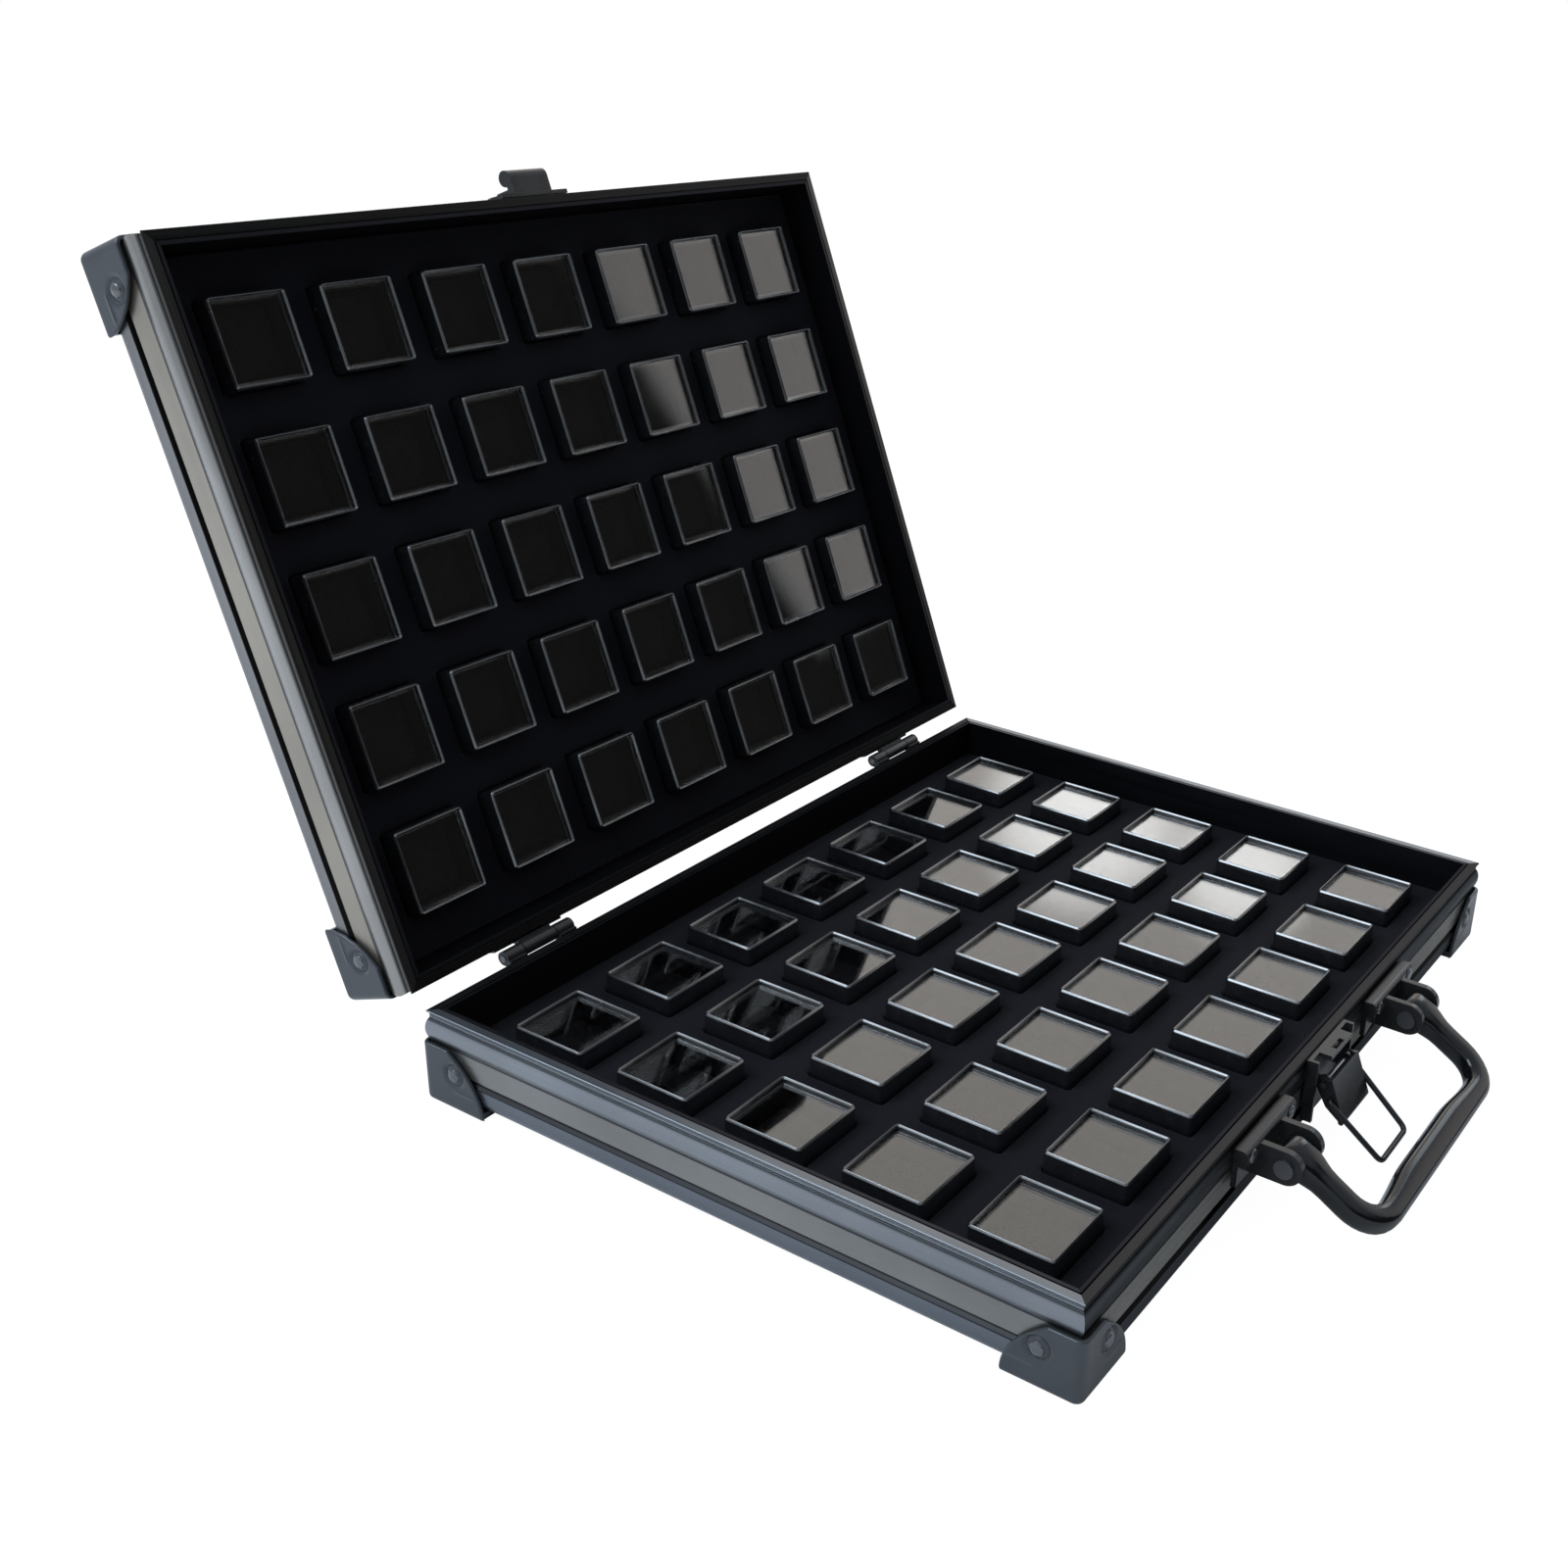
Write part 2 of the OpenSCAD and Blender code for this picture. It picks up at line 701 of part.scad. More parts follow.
// Handle brackets
module bracket(side)
    color([0.12, 0.125, 0.135])
    translate([side * handle_x, 0, 0])
        difference() {
            union() {
                translate([-bracket_w / 2, front_y - bracket_t, bracket_low])
                    cube([bracket_w, bracket_t, bar_top - bracket_low - 1]);
                translate([-bracket_w / 2, front_y, bar_low])
                    rotate([90, 0, 90])
                        linear_extrude(bracket_w)
                            polygon(concat(
                                [[0, 0]],
                                [[0, bar_h]],
                                arc(bar_r - bar_t, bar_h - bar_r, bar_r, 90, 180, 4),
                                arc(bar_r - bar_t, bar_r, bar_r, 180, 270, 4)));
                for (end = [-1, 1])
                    translate([end * (ear_gap + ear_t) / 2, 0, 0]) {
                        translate([0, pivot_y, handle_z])
                            cross_rod(ear_r, ear_t);
                        translate([-ear_t / 2, pivot_y, handle_z - ear_r])
                            cube([ear_t, handle_out, 2 * ear_r]);
                    }
            }
            translate([0, pivot_y, handle_z])
                cross_rod(handle_pin_r + fit_gap, bracket_w);
            for (step = [-1, 1])
                translate([step * bracket_rivet, front_y + 1, bracket_rivet_z])
                    rotate([90, 0, 0])
                        cylinder(r = rivet_r + fit_gap, h = bar_t + 2, $fn = 32);
        }

module handle_pins()
    color([0.3, 0.3, 0.32])
    for (side = [-1, 1])
        translate([side * handle_x, pivot_y, handle_z]) {
            cross_rod(handle_pin_r, ear_gap + 2 * ear_t + 0.1);
            for (end = [-1, 1])
                translate([end * (ear_gap / 2 + ear_t + pin_head_t / 2 + fit_gap), 0, 0])
                    cross_rod(pin_head_r, pin_head_t);
        }

// Handle, drawn level with its pivot on X and its grip towards -Y
module handle_section()
    polygon(rounded(handle_t, handle_t, section_r, 4));

module handle_half()
    union() {
        translate([handle_x, 0, 0])
            cross_rod(boss_r, boss_w);
        translate([handle_x, 0, 0])
            rotate([90, 0, 0])
                linear_extrude(corner_y)
                    handle_section();
        translate([corner_x, -corner_y, 0])
            rotate([0, 0, -90])
                rotate_extrude(angle = 90, $fn = 64)
                    translate([handle_r, 0])
                        handle_section();
    }

module handle()
    color([0.07, 0.075, 0.08])
    translate([0, pivot_y, handle_z])
        rotate([handle_tilt, 0, 0])
            difference() {
                union() {
                    handle_half();
                    mirror([1, 0, 0])
                        handle_half();
                    translate([-corner_x, -handle_reach, 0])
                        rotate([90, 0, 90])
                            linear_extrude(2 * corner_x)
                                handle_section();
                }
                cross_rod(handle_pin_r + run_gap, 2 * handle_x + 2 * ear_gap);
            }

// Latch
module latch_plate() {
    half = plate_w / 2;
    height = plate_top - plate_low;
    ear_x = plate_ear_in + plate_ear_t / 2;
    color([0.12, 0.125, 0.135])
    difference() {
        union() {
            translate([-half, front_y - plate_t, plate_low])
                cube([plate_w, plate_t, height]);
            for (side = [-1, 1])
                translate([side * (half - plate_t / 2), front_y - flange_out / 2, plate_low + height / 2])
                    cube([plate_t - 0.1, flange_out, height], center = true);
            translate([-ledge_w / 2, front_y - ledge_out, plate_top - plate_t])
                cube([ledge_w, ledge_out, plate_t]);
            for (side = [-1, 1])
                translate([side * ear_x, 0, 0]) {
                    translate([0, lever_y, lever_z])
                        cross_rod(lever_ear_r, plate_ear_t);
                    translate([-plate_ear_t / 2, lever_y, lever_z - lever_ear_r])
                        cube([plate_ear_t, lever_out, lever_ear_r + plate_ear_rise]);
                }
        }
        translate([0, lever_y, lever_z])
            cross_rod(lever_pin_r + fit_gap, plate_w - 4);
        translate([-slot_w / 2, front_y - ledge_out + 0.6, plate_top - 2 * plate_t])
            cube([slot_w, slot_d, 3 * plate_t]);
        for (p = plate_rivets)
            translate([p[0], front_y + 1, p[1]])
                rotate([90, 0, 0])
                    cylinder(r = rivet_r + fit_gap, h = plate_t + 2, $fn = 32);
    }
}

module latch_lever_pin()
    color([0.3, 0.3, 0.32])
    translate([0, lever_y, lever_z])
        cross_rod(lever_pin_r, lever_w + 0.4);

// Moves what is drawn on the hanging lever to its resting slope
module lever_swing()
    translate([0, lever_y, lever_z])
        rotate([-lever_tilt, 0, 0])
            children();

module latch_lever()
    color([0.14, 0.145, 0.155])
    lever_swing()
        difference() {
            union() {
                translate([-lever_w / 2, -lever_face, -lever_l])
                    cube([lever_w, lever_t, lever_l + 1.5]);
                translate([0, 1 - lever_face, -lever_l])
                    cross_rod(1, lever_w);
                for (side = [-1, 1])
                    translate([side * (lever_w - wing_t) / 2, 0, 0]) {
                        cross_rod(lever_ear_r, wing_t);
                        translate([-wing_t / 2, 0, 0])
                            rotate([90, 0, 90])
                                linear_extrude(wing_t)
                                    polygon([[-lever_face, 1.5], [0, lever_ear_r], [lever_ear_r, 0],
                                             [1.2, -wire_down - 2.5], [1.5 - lever_face, -lever_l],
                                             [-lever_face, -lever_l]]);
                    }
            }
            cross_rod(lever_pin_r + run_gap, lever_w + 2);
            translate([0, -wire_out, -wire_down])
                cross_rod(wire_r + run_gap, lever_w + 2);
        }

// Wire loop, drawn level with its pivot on X and its end bar towards -Y
module latch_wire()
    color([0.2, 0.2, 0.215])
    lever_swing()
        translate([0, -wire_out, -wire_down])
            rotate([lever_tilt + wire_tilt, 0, 0])
                union() {
                    for (side = [-1, 1]) {
                        rod([side * wing_in, 0, 0], [side * (wire_half + wire_r), 0, 0], wire_r);
                        rod([side * wire_half, 0, 0], [side * wire_end_half, -wire_l, 0], wire_r - 0.05);
                    }
                    translate([0, -wire_l, 0])
                        cross_rod(wire_r, 2 * (wire_end_half + wire_r));
                }

// Lid catch, drawn on the shut lid
module lid_catch()
    color([0.12, 0.125, 0.135])
    lid_swing()
        difference() {
            union() {
                translate([-catch_w / 2, front_y - plate_t, catch_low])
                    cube([catch_w, plate_t, catch_h]);
                translate([-hook_w / 2, front_y - hook_back, catch_low + 1])
                    cube([hook_w, hook_back, catch_h - 3]);
                translate([-hook_w / 2, front_y - hook_out, hook_z - hook_r])
                    cube([hook_w, hook_out, hook_r]);
                translate([0, front_y - hook_out, hook_z])
                    cross_rod(hook_r, hook_w);
            }
            for (side = [-1, 1])
                translate([side * catch_rivet_x, front_y + 1, catch_rivet_z])
                    rotate([90, 0, 0])
                        cylinder(r = rivet_r + fit_gap, h = plate_t + 2, $fn = 32);
        }

module base_hardware_rivets()
    color([0.2, 0.2, 0.21]) {
        front_rivets(bracket_rivets, bar_t);
        front_rivets(plate_rivets, plate_t);
        back_rivets(hinge_rivets, leaf_t);
    }

module lid_hardware_rivets()
    color([0.2, 0.2, 0.21])
    lid_flip() {
        front_rivets(catch_rivets, plate_t);
        back_rivets(hinge_rivets, leaf_t);
    }

front_rail(concat(bracket_rivets, plate_rivets));  // base_front_rail
back_rail();  // base_back_rail
side_rail(-1);  // base_left_rail
side_rail(1);  // base_right_rail
panel();  // base_panel
foam_tray();  // base_foam_tray
guard_front_left();  // base_guard_front_left
guard_front_right();  // base_guard_front_right
guard_back_left();  // base_guard_back_left
guard_back_right();  // base_guard_back_right
guard_rivets();  // base_guard_rivets
box_row(0, true) cup();  // base_cups_row_1
box_row(1, true) cup();  // base_cups_row_2
box_row(2, true) cup();  // base_cups_row_3
box_row(3, true) cup();  // base_cups_row_4
box_row(4, true) cup();  // base_cups_row_5
box_grid(true) cover();  // base_box_covers
box_grid(true) window();  // base_box_windows
box_grid(true) pad();  // base_box_pads
at_sample() cup();  // sample_cup
at_sample() cover();  // sample_cover
at_sample() window();  // sample_window
at_sample() pad();  // sample_pad
lid_flip() front_rail(catch_rivets);  // lid_front_rail
lid_flip() back_rail();  // lid_back_rail
lid_flip() side_rail(-1);  // lid_left_rail
lid_flip() side_rail(1);  // lid_right_rail
lid_flip() panel();  // lid_panel
lid_flip() foam_tray();  // lid_foam_tray
lid_flip() guard_front_left();  // lid_guard_front_left
lid_flip() guard_front_right();  // lid_guard_front_right
lid_flip() guard_back_left();  // lid_guard_back_left
lid_flip() guard_back_right();  // lid_guard_back_right
lid_flip() guard_rivets();  // lid_guard_rivets
lid_flip() box_row(0, false) cup();  // lid_cups_row_1
lid_flip() box_row(1, false) cup();  // lid_cups_row_2
lid_flip() box_row(2, false) cup();  // lid_cups_row_3
lid_flip() box_row(3, false) cup();  // lid_cups_row_4
lid_flip() box_row(4, false) cup();  // lid_cups_row_5
lid_flip() box_grid(false) cover();  // lid_box_covers
lid_flip() box_grid(false) window();  // lid_box_windows
lid_flip() box_grid(false) pad();  // lid_box_pads
base_leaf(-1);  // hinge_base_leaf_left
base_leaf(1);  // hinge_base_leaf_right
lid_leaf(-1);  // hinge_lid_leaf_left
lid_leaf(1);  // hinge_lid_leaf_right
hinge_pins();
bracket(-1);  // handle_bracket_left
bracket(1);  // handle_bracket_right
handle_pins();
handle();
latch_plate();
latch_lever();
latch_lever_pin();
latch_wire();
lid_catch();
base_hardware_rivets();
lid_hardware_rivets();
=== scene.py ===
"""Looks of the hinged specimen case, round the CAD frame: finishes, soft pieces, edges, light, camera.

Shapes are drawn in millimetres on the base half. The lid's are the same, turned over onto the open lid.
"""

import json
import math

import bmesh
import bpy
from mathutils import Euler, Matrix, Vector


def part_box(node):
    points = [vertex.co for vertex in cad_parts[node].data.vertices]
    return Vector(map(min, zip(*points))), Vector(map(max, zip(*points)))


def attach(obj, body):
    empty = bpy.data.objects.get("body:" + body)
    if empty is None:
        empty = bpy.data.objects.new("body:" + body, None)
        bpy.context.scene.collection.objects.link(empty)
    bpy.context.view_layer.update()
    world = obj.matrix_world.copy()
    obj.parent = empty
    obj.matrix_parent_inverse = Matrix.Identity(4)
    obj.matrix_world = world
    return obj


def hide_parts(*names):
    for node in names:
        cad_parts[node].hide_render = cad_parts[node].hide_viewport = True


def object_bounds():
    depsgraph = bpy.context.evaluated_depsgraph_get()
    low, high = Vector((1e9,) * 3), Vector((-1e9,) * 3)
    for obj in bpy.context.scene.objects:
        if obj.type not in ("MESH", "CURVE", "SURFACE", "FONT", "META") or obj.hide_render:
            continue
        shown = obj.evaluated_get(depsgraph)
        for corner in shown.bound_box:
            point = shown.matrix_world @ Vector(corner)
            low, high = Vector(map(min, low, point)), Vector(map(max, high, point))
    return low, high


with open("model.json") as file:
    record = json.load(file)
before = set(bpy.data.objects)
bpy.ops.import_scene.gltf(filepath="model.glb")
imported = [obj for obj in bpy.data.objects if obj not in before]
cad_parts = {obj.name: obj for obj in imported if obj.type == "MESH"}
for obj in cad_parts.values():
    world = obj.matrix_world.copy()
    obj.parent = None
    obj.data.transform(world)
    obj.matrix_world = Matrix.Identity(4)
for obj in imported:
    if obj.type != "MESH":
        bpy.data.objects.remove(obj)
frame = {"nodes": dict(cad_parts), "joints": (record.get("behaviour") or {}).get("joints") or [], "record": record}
cad_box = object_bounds()
record = frame["record"]
joints = {joint["name"]: joint for joint in frame["joints"]}
MM = 0.001

# Lid and case, read from the frame
OPEN_ANGLE = -math.radians(joints["lid_hinge"]["range_deg"][0])
HINGE = Vector(joints["lid_hinge"]["pos_m"])
CASE_HALF_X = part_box("base_right_rail")[1][0] / MM
CASE_HALF_Y = -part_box("base_front_rail")[0][1] / MM
RIM_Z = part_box("base_front_rail")[1][2] / MM

# Camera, fitted to the corners of the boxes and of the case
CAMERA_AT = (-0.50616, -0.29282, 0.35116)
CAMERA_TURN = (66.164, -2.9785, -58.3452)
CAMERA_LENS = 41.1708
CAMERA_SHIFT = (-0.14419, -0.00607)

# Specimen boxes
COLUMNS = 7
ROWS = 5
PITCH_X = 43.5
PITCH_Y = 45.2
BOX_HALF = 15
BOX_CORNER = 1.6
BOX_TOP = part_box("sample_cover")[1][2] / MM
COVER_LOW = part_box("sample_cover")[0][2] / MM
WINDOW_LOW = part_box("sample_window")[0][2] / MM
WINDOW_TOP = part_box("sample_window")[1][2] / MM
PAD_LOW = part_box("sample_pad")[0][2] / MM
PAD_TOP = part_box("sample_pad")[1][2] / MM
RIM_WIDTH = 1.3
COVER_WALL = 1.0
WINDOW_SEAT = 0.8
WINDOW_SINK = 0.5
SEAT_THICK = 0.5
PAD_HALF = 12.1
SHARP = {"cover": 50, "window": 30, "pad": 60}

# Foam tray
TRAY_HALF_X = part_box("base_foam_tray")[1][0] / MM
TRAY_HALF_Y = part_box("base_foam_tray")[1][1] / MM
TRAY_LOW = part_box("base_foam_tray")[0][2] / MM
FOAM_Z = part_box("base_foam_tray")[1][2] / MM
POCKET_HALF = 15.3
POCKET_Z = 6.5

# Corner guards
GUARD_OUT = 1.2
GUARD_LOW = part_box("base_guard_front_left")[0][2] / MM
GUARD_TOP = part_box("base_guard_front_left")[1][2] / MM
GUARD_REACH = 25.4
GUARD_FLAT = 10.5
GUARD_ROUND = 3.0
GUARD_FOOT = 5.4
GUARD_RIVET = (13.5, 11.1)
GUARD_EDGE = 0.7
GUARD_FOOT_EDGE = 1.8
GUARD_FOOT_SHARE = 0.62
GROOVE = {"at": 3.7, "width": 0.6, "depth": 0.8}
LEDGE = {"at": 5.2, "width": 0.5, "rise": 0.35}

# Width of the rounded edges on the copies of CAD nodes, by slot
EDGE_WIDTHS = {"case_rail": 0.22, "hardware": 0.4, "case_panel": 0.15}

# What the object sees: a dark wall beyond its handle side, within azimuths and heights, and light elsewhere
RIGHT_EDGE = (-41.3, -40.2)
RIGHT_LOW = (0.115, 0.14)
RIGHT_BEYOND = (-30, -24)
LEFT_EDGE = (-165, -145)
CEILING = (0.42, 0.7)
ROOM_DARK = (0.055, 0.054, 0.052)
ROOM_BRIGHT = (0.62, 0.68, 0.75)

# Bright patches: direction, outer and inner angle, colour. The pane shows only on the light right side
WARM_PANEL = ((0.78, 0.45, 0.45), 34, 24, (1.3, 1.25, 1.19))
PANE = ((0.85, -0.45, 0.25), 17, 12, (1.1, 1.06, 1.04))

# Small bright lamps that the windows near the back right corner mirror: direction and outer angle
GLINTS = (((0.803, 0.42, 0.424), 3.9), ((0.832, 0.335, 0.443), 2.8))
GLINT_CORE = 0.2
GLINT_COLOUR = (3.6, 3.6, 3.6)

# Floor, just under the case, and how much of it shows to the camera as plain white
FLOOR_HALF = 6.0
FLOOR_DROP = 0.0002
FLOOR_GLOW = 1.08
FLOOR_GLOW_SHARE = 0.9

# Depths between which a rail turns from its outside to its near-black inside
RAIL_INNER = (3.6, 3.8)

# Tones of the rail's bands by height, with how bright each is on the front and back rails. The dark bands in the
# grooves and under the lip are painted shade, the bright bead is a painted highlight, and the lower brightness on
# the front and back rails is painted shade
RAIL_TONES_AND_PAINTED_LIGHT = (
    (0.2, (0.13, 0.145, 0.17), 0.6), (7.9, (0.17, 0.19, 0.22), 0.5), (8.2, (0.01, 0.01, 0.011), 0.5),
    (10.4, (0.01, 0.01, 0.011), 0.5), (10.8, (0.27, 0.27, 0.265), 1.3), (19.0, (0.25, 0.25, 0.247), 1.2),
    (19.5, (0.02, 0.02, 0.022), 0.5), (20.4, (0.12, 0.13, 0.145), 0.25), (22.5, (0.27, 0.29, 0.32), 0.22),
    (27.0, (0.24, 0.26, 0.29), 0.22), (27.7, (0.05, 0.053, 0.06), 0.3), (28.4, (0.13, 0.14, 0.155), 0.3),
    (29.8, (0.13, 0.14, 0.155), 0.3), (30.2, (0.02, 0.02, 0.022), 0.5),
)

# Tone of the rim, between two heights, and tint of all the bands, by half and by the rail's direction. The bright
# rim on the base's side rails is a painted highlight, the dark rims elsewhere are painted shade, and the differing
# brightness of the tints is painted light and shade by side
RIM_HEIGHTS = (30.45, 30.9)
RIM_PAINTED_LIGHT = {
    ("base", "y"): (0.16, 0.175, 0.195), ("base", "x"): (0.035, 0.035, 0.037),
    ("lid", "y"): (0.045, 0.043, 0.04), ("lid", "x"): (0.02, 0.02, 0.02),
}
RAIL_TINTS_AND_SIDE_SHADE = {
    ("base", "y"): (0.88, 0.86, 0.84), ("base", "x"): (1.0, 0.97, 0.92),
    ("lid", "y"): (1.12, 1.0, 0.87), ("lid", "x"): (0.45, 0.43, 0.41),
}

# Handle, drawn level with its pivot on X and its grip towards -Y
HANDLE_TILT = math.radians(31)
HANDLE_X = 54
HANDLE_REACH = 33.4
HANDLE_BEND = 12
HANDLE_BOSS = 5.2
ARM_SIDE = 6.0
GRIP_SIDE = 4.2
GRIP_OUTER = 4.25
GRIP_SWELL = 1.6

# Wire loop, drawn level with its pivot on X and its end towards -Y
WIRE_TILT = math.radians(39.3)
WIRE_R = 1.0
WIRE_TAIL = 10
WIRE_HALF = 13.2
WIRE_END_HALF = 11.5
WIRE_LENGTH = 26
WIRE_BENDS = [1.6, 2.6, 2.6, 1.6]
WIRE_SIDES = 14


def swing_matrix():
    """Turns what is drawn on the shut lid to the open lid."""
    turn = Matrix.Rotation(-OPEN_ANGLE, 4, "X")
    return Matrix.Translation(HINGE) @ turn @ Matrix.Translation(-HINGE)


def lid_matrix():
    """Takes a piece drawn on the base to its twin on the open lid."""
    flip = Matrix.Translation((0, 0, 2 * HINGE.z)) @ Matrix.Scale(-1, 4, (0, 0, 1))
    return swing_matrix() @ flip


HALVES = {"base": Matrix.Identity(4), "lid": lid_matrix()}


# Mesh building blocks


class Shape:
    """A mesh under construction, in millimetres."""

    def __init__(self):
        self.points = []
        self.faces = []

    def add(self, points, faces, place=None):
        first = len(self.points)
        for point in points:
            self.points.append(place @ Vector(point) if place else Vector(point))
        for face in faces:
            self.faces.append([first + index for index in face])

    def loft(self, rings, closed=False, start_cap=True, end_cap=True):
        """Joins rings of equally many points. closed joins the last ring to the first."""
        count = len(rings[0])
        faces = []
        for i in range(len(rings) if closed else len(rings) - 1):
            low = i * count
            high = (i + 1) % len(rings) * count
            for j in range(count):
                k = (j + 1) % count
                faces.append((low + j, low + k, high + k, high + j))
        if start_cap and not closed:
            faces.append(tuple(reversed(range(count))))
        if end_cap and not closed:
            faces.append(tuple(range((len(rings) - 1) * count, len(rings) * count)))
        self.add([point for ring in rings for point in ring], faces)

    def repeat(self, shape, places):
        for place in places:
            self.add(shape.points, shape.faces, Matrix.Translation(place))


def make_piece(name, shape, body, material, nodes=(), place=None, sharp=35, tidy=True):
    """Makes one piece of a shape, in metres, that rides on a body and stands for CAD nodes."""
    mesh = bpy.data.meshes.new(name)
    place = place or Matrix.Identity(4)
    mesh.from_pydata([place @ (point * MM) for point in shape.points], [], shape.faces)
    build = bmesh.new()
    build.from_mesh(mesh)
    if tidy:
        bmesh.ops.remove_doubles(build, verts=build.verts, dist=1e-7)
        bmesh.ops.recalc_face_normals(build, faces=build.faces)
    elif place.determinant() < 0:
        bmesh.ops.reverse_faces(build, faces=build.faces)
    build.to_mesh(mesh)
    build.free()
    mesh.polygons.foreach_set("use_smooth", [True] * len(mesh.polygons))
    mesh.set_sharp_from_angle(angle=math.radians(sharp))
    mesh.materials.append(material)
    piece = bpy.data.objects.new(name, mesh)
    bpy.context.scene.collection.objects.link(piece)
    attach(piece, body)
    if nodes:
        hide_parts(*nodes)
    return piece


def soften(node, width, material):
    """Stands a copy with rounded edges for a CAD node."""
    mesh = frame["nodes"][node].data.copy()
    mesh.name = node + "_edges"
    build = bmesh.new()
    build.from_mesh(mesh)
    bmesh.ops.remove_doubles(build, verts=build.verts, dist=1e-6)
    bmesh.ops.dissolve_limit(build, angle_limit=math.radians(1), verts=build.verts, edges=build.edges)
    build.to_mesh(mesh)
    build.free()
    mesh.materials.clear()
    mesh.materials.append(material)
    mesh.polygons.foreach_set("use_smooth", [True] * len(mesh.polygons))
    piece = bpy.data.objects.new(node + "_edges", mesh)
    bpy.context.scene.collection.objects.link(piece)
    bevel = piece.modifiers.new("edges", "BEVEL")
    bevel.width = width * MM
    bevel.segments = 2
    bevel.limit_method = "ANGLE"
    bevel.angle_limit = math.radians(32)
    normals = piece.modifiers.new("normals", "WEIGHTED_NORMAL")
    normals.keep_sharp = False
    bodies = record["behaviour"]["bodies"]
    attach(piece, next(body for body, nodes in bodies.items() if node in nodes))
    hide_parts(node)


def smooth_step(value, low, high):
    """0 up to low, 1 from high, with a smooth rise between them."""
    t = min(1.0, max(0.0, (value - low) / (high - low)))
    return t * t * (3 - 2 * t)


def rounded_square(half, radius, z, steps=4):
    """A square ring with rounded corners, anticlockwise seen from above."""
    ring = []
    for corner in range(4):
        for step in range(steps + 1):
            angle = math.radians(90 * (corner + step / steps))
            sign_x = 1 if corner in (0, 3) else -1
            sign_y = 1 if corner in (0, 1) else -1
            x = sign_x * (half - radius) + radius * math.cos(angle)
            y = sign_y * (half - radius) + radius * math.sin(angle)
            ring.append((x, y, z))
    return ring


def cell_ring(low, high, reach, z):
    """A rectangle's ring with as many points as rounded_square has with 4 steps."""
    ring = []
    for corner in range(4):
        x, sign_x = (high[0], -1) if corner in (0, 3) else (low[0], 1)
        y, sign_y = (high[1], -1) if corner in (0, 1) else (low[1], 1)
        on_x = [(x, y + sign_y * reach, z), (x, y + sign_y * reach / 2, z)]
        on_y = [(x + sign_x * reach / 2, y, z), (x + sign_x * reach, y, z)]
        if corner in (1, 3):
            on_x, on_y = on_y[::-1], on_x[::-1]
        ring += on_x + [(x, y, z)] + on_y
    return ring


def box_place(column, row):
    """Middle of one specimen box."""
    return Vector(((column - (COLUMNS - 1) / 2) * PITCH_X, (row - (ROWS - 1) / 2) * PITCH_Y, 0))


def box_places(half):
    """Places of the fixed boxes: the base's first place belongs to the loose sample box."""
    places = [box_place(column, row) for row in range(ROWS) for column in range(COLUMNS)]
    return places[1:] if half == "base" else places


# Pieces


def cover_shape():
    """One cover: its side, the raised rim that slopes to both sides, and the window's seat."""
    rim_in = BOX_HALF - RIM_WIDTH
    seat = WINDOW_LOW - WINDOW_SINK
    profile = [(BOX_HALF, COVER_LOW)]
    slope = ((0, 0.85), (0.05, 0.7), (0.14, 0.56), (0.5, 0.17), (0.58, 0.05), (0.66, 0))
    for inset, drop in slope:
        profile.append((BOX_HALF - inset, BOX_TOP - drop))
    for inset, drop in reversed(slope):
        profile.append((rim_in + inset * 0.85, BOX_TOP - drop * 0.85))
    profile += [(rim_in, seat), (rim_in - WINDOW_SEAT, seat), (rim_in - WINDOW_SEAT, seat - SEAT_THICK),
                (BOX_HALF - COVER_WALL, seat - SEAT_THICK), (BOX_HALF - COVER_WALL, COVER_LOW)]
    rings = [rounded_square(half, max(0.3, BOX_CORNER - BOX_HALF + half), z) for half, z in profile]
    shape = Shape()
    shape.loft(rings, closed=True)
    return shape


def window_shape():
    """One flat window with a fine chamfer."""
    half = BOX_HALF - RIM_WIDTH - 0.05
    chamfer = 0.1
    low = WINDOW_LOW - WINDOW_SINK
    top = WINDOW_TOP - WINDOW_SINK
    profile = [(half - chamfer, low), (half, low + chamfer), (half, top - chamfer), (half - chamfer, top)]
    shape = Shape()
    shape.loft([rounded_square(size, 0.5, z) for size, z in profile])
    return shape


def pad_shape():
    """One foam pad, crowned, with soft edges and drawn-in sides."""
    waist = PAD_LOW + (PAD_TOP - PAD_LOW) * 0.45
    profile = [(PAD_HALF - 0.5, PAD_LOW), (PAD_HALF, PAD_LOW + 0.5), (PAD_HALF - 0.3, waist)]
    crown = ((0.1, 1.6), (0.5, 0.9), (1.3, 0.5), (3.5, 0.2), (7, 0))
    profile += [(PAD_HALF - inset, PAD_TOP - drop) for inset, drop in crown]
    shape = Shape()
    shape.loft([rounded_square(half, 1.2 + 0.3 * (PAD_HALF - half), z) for half, z in profile])
    return shape


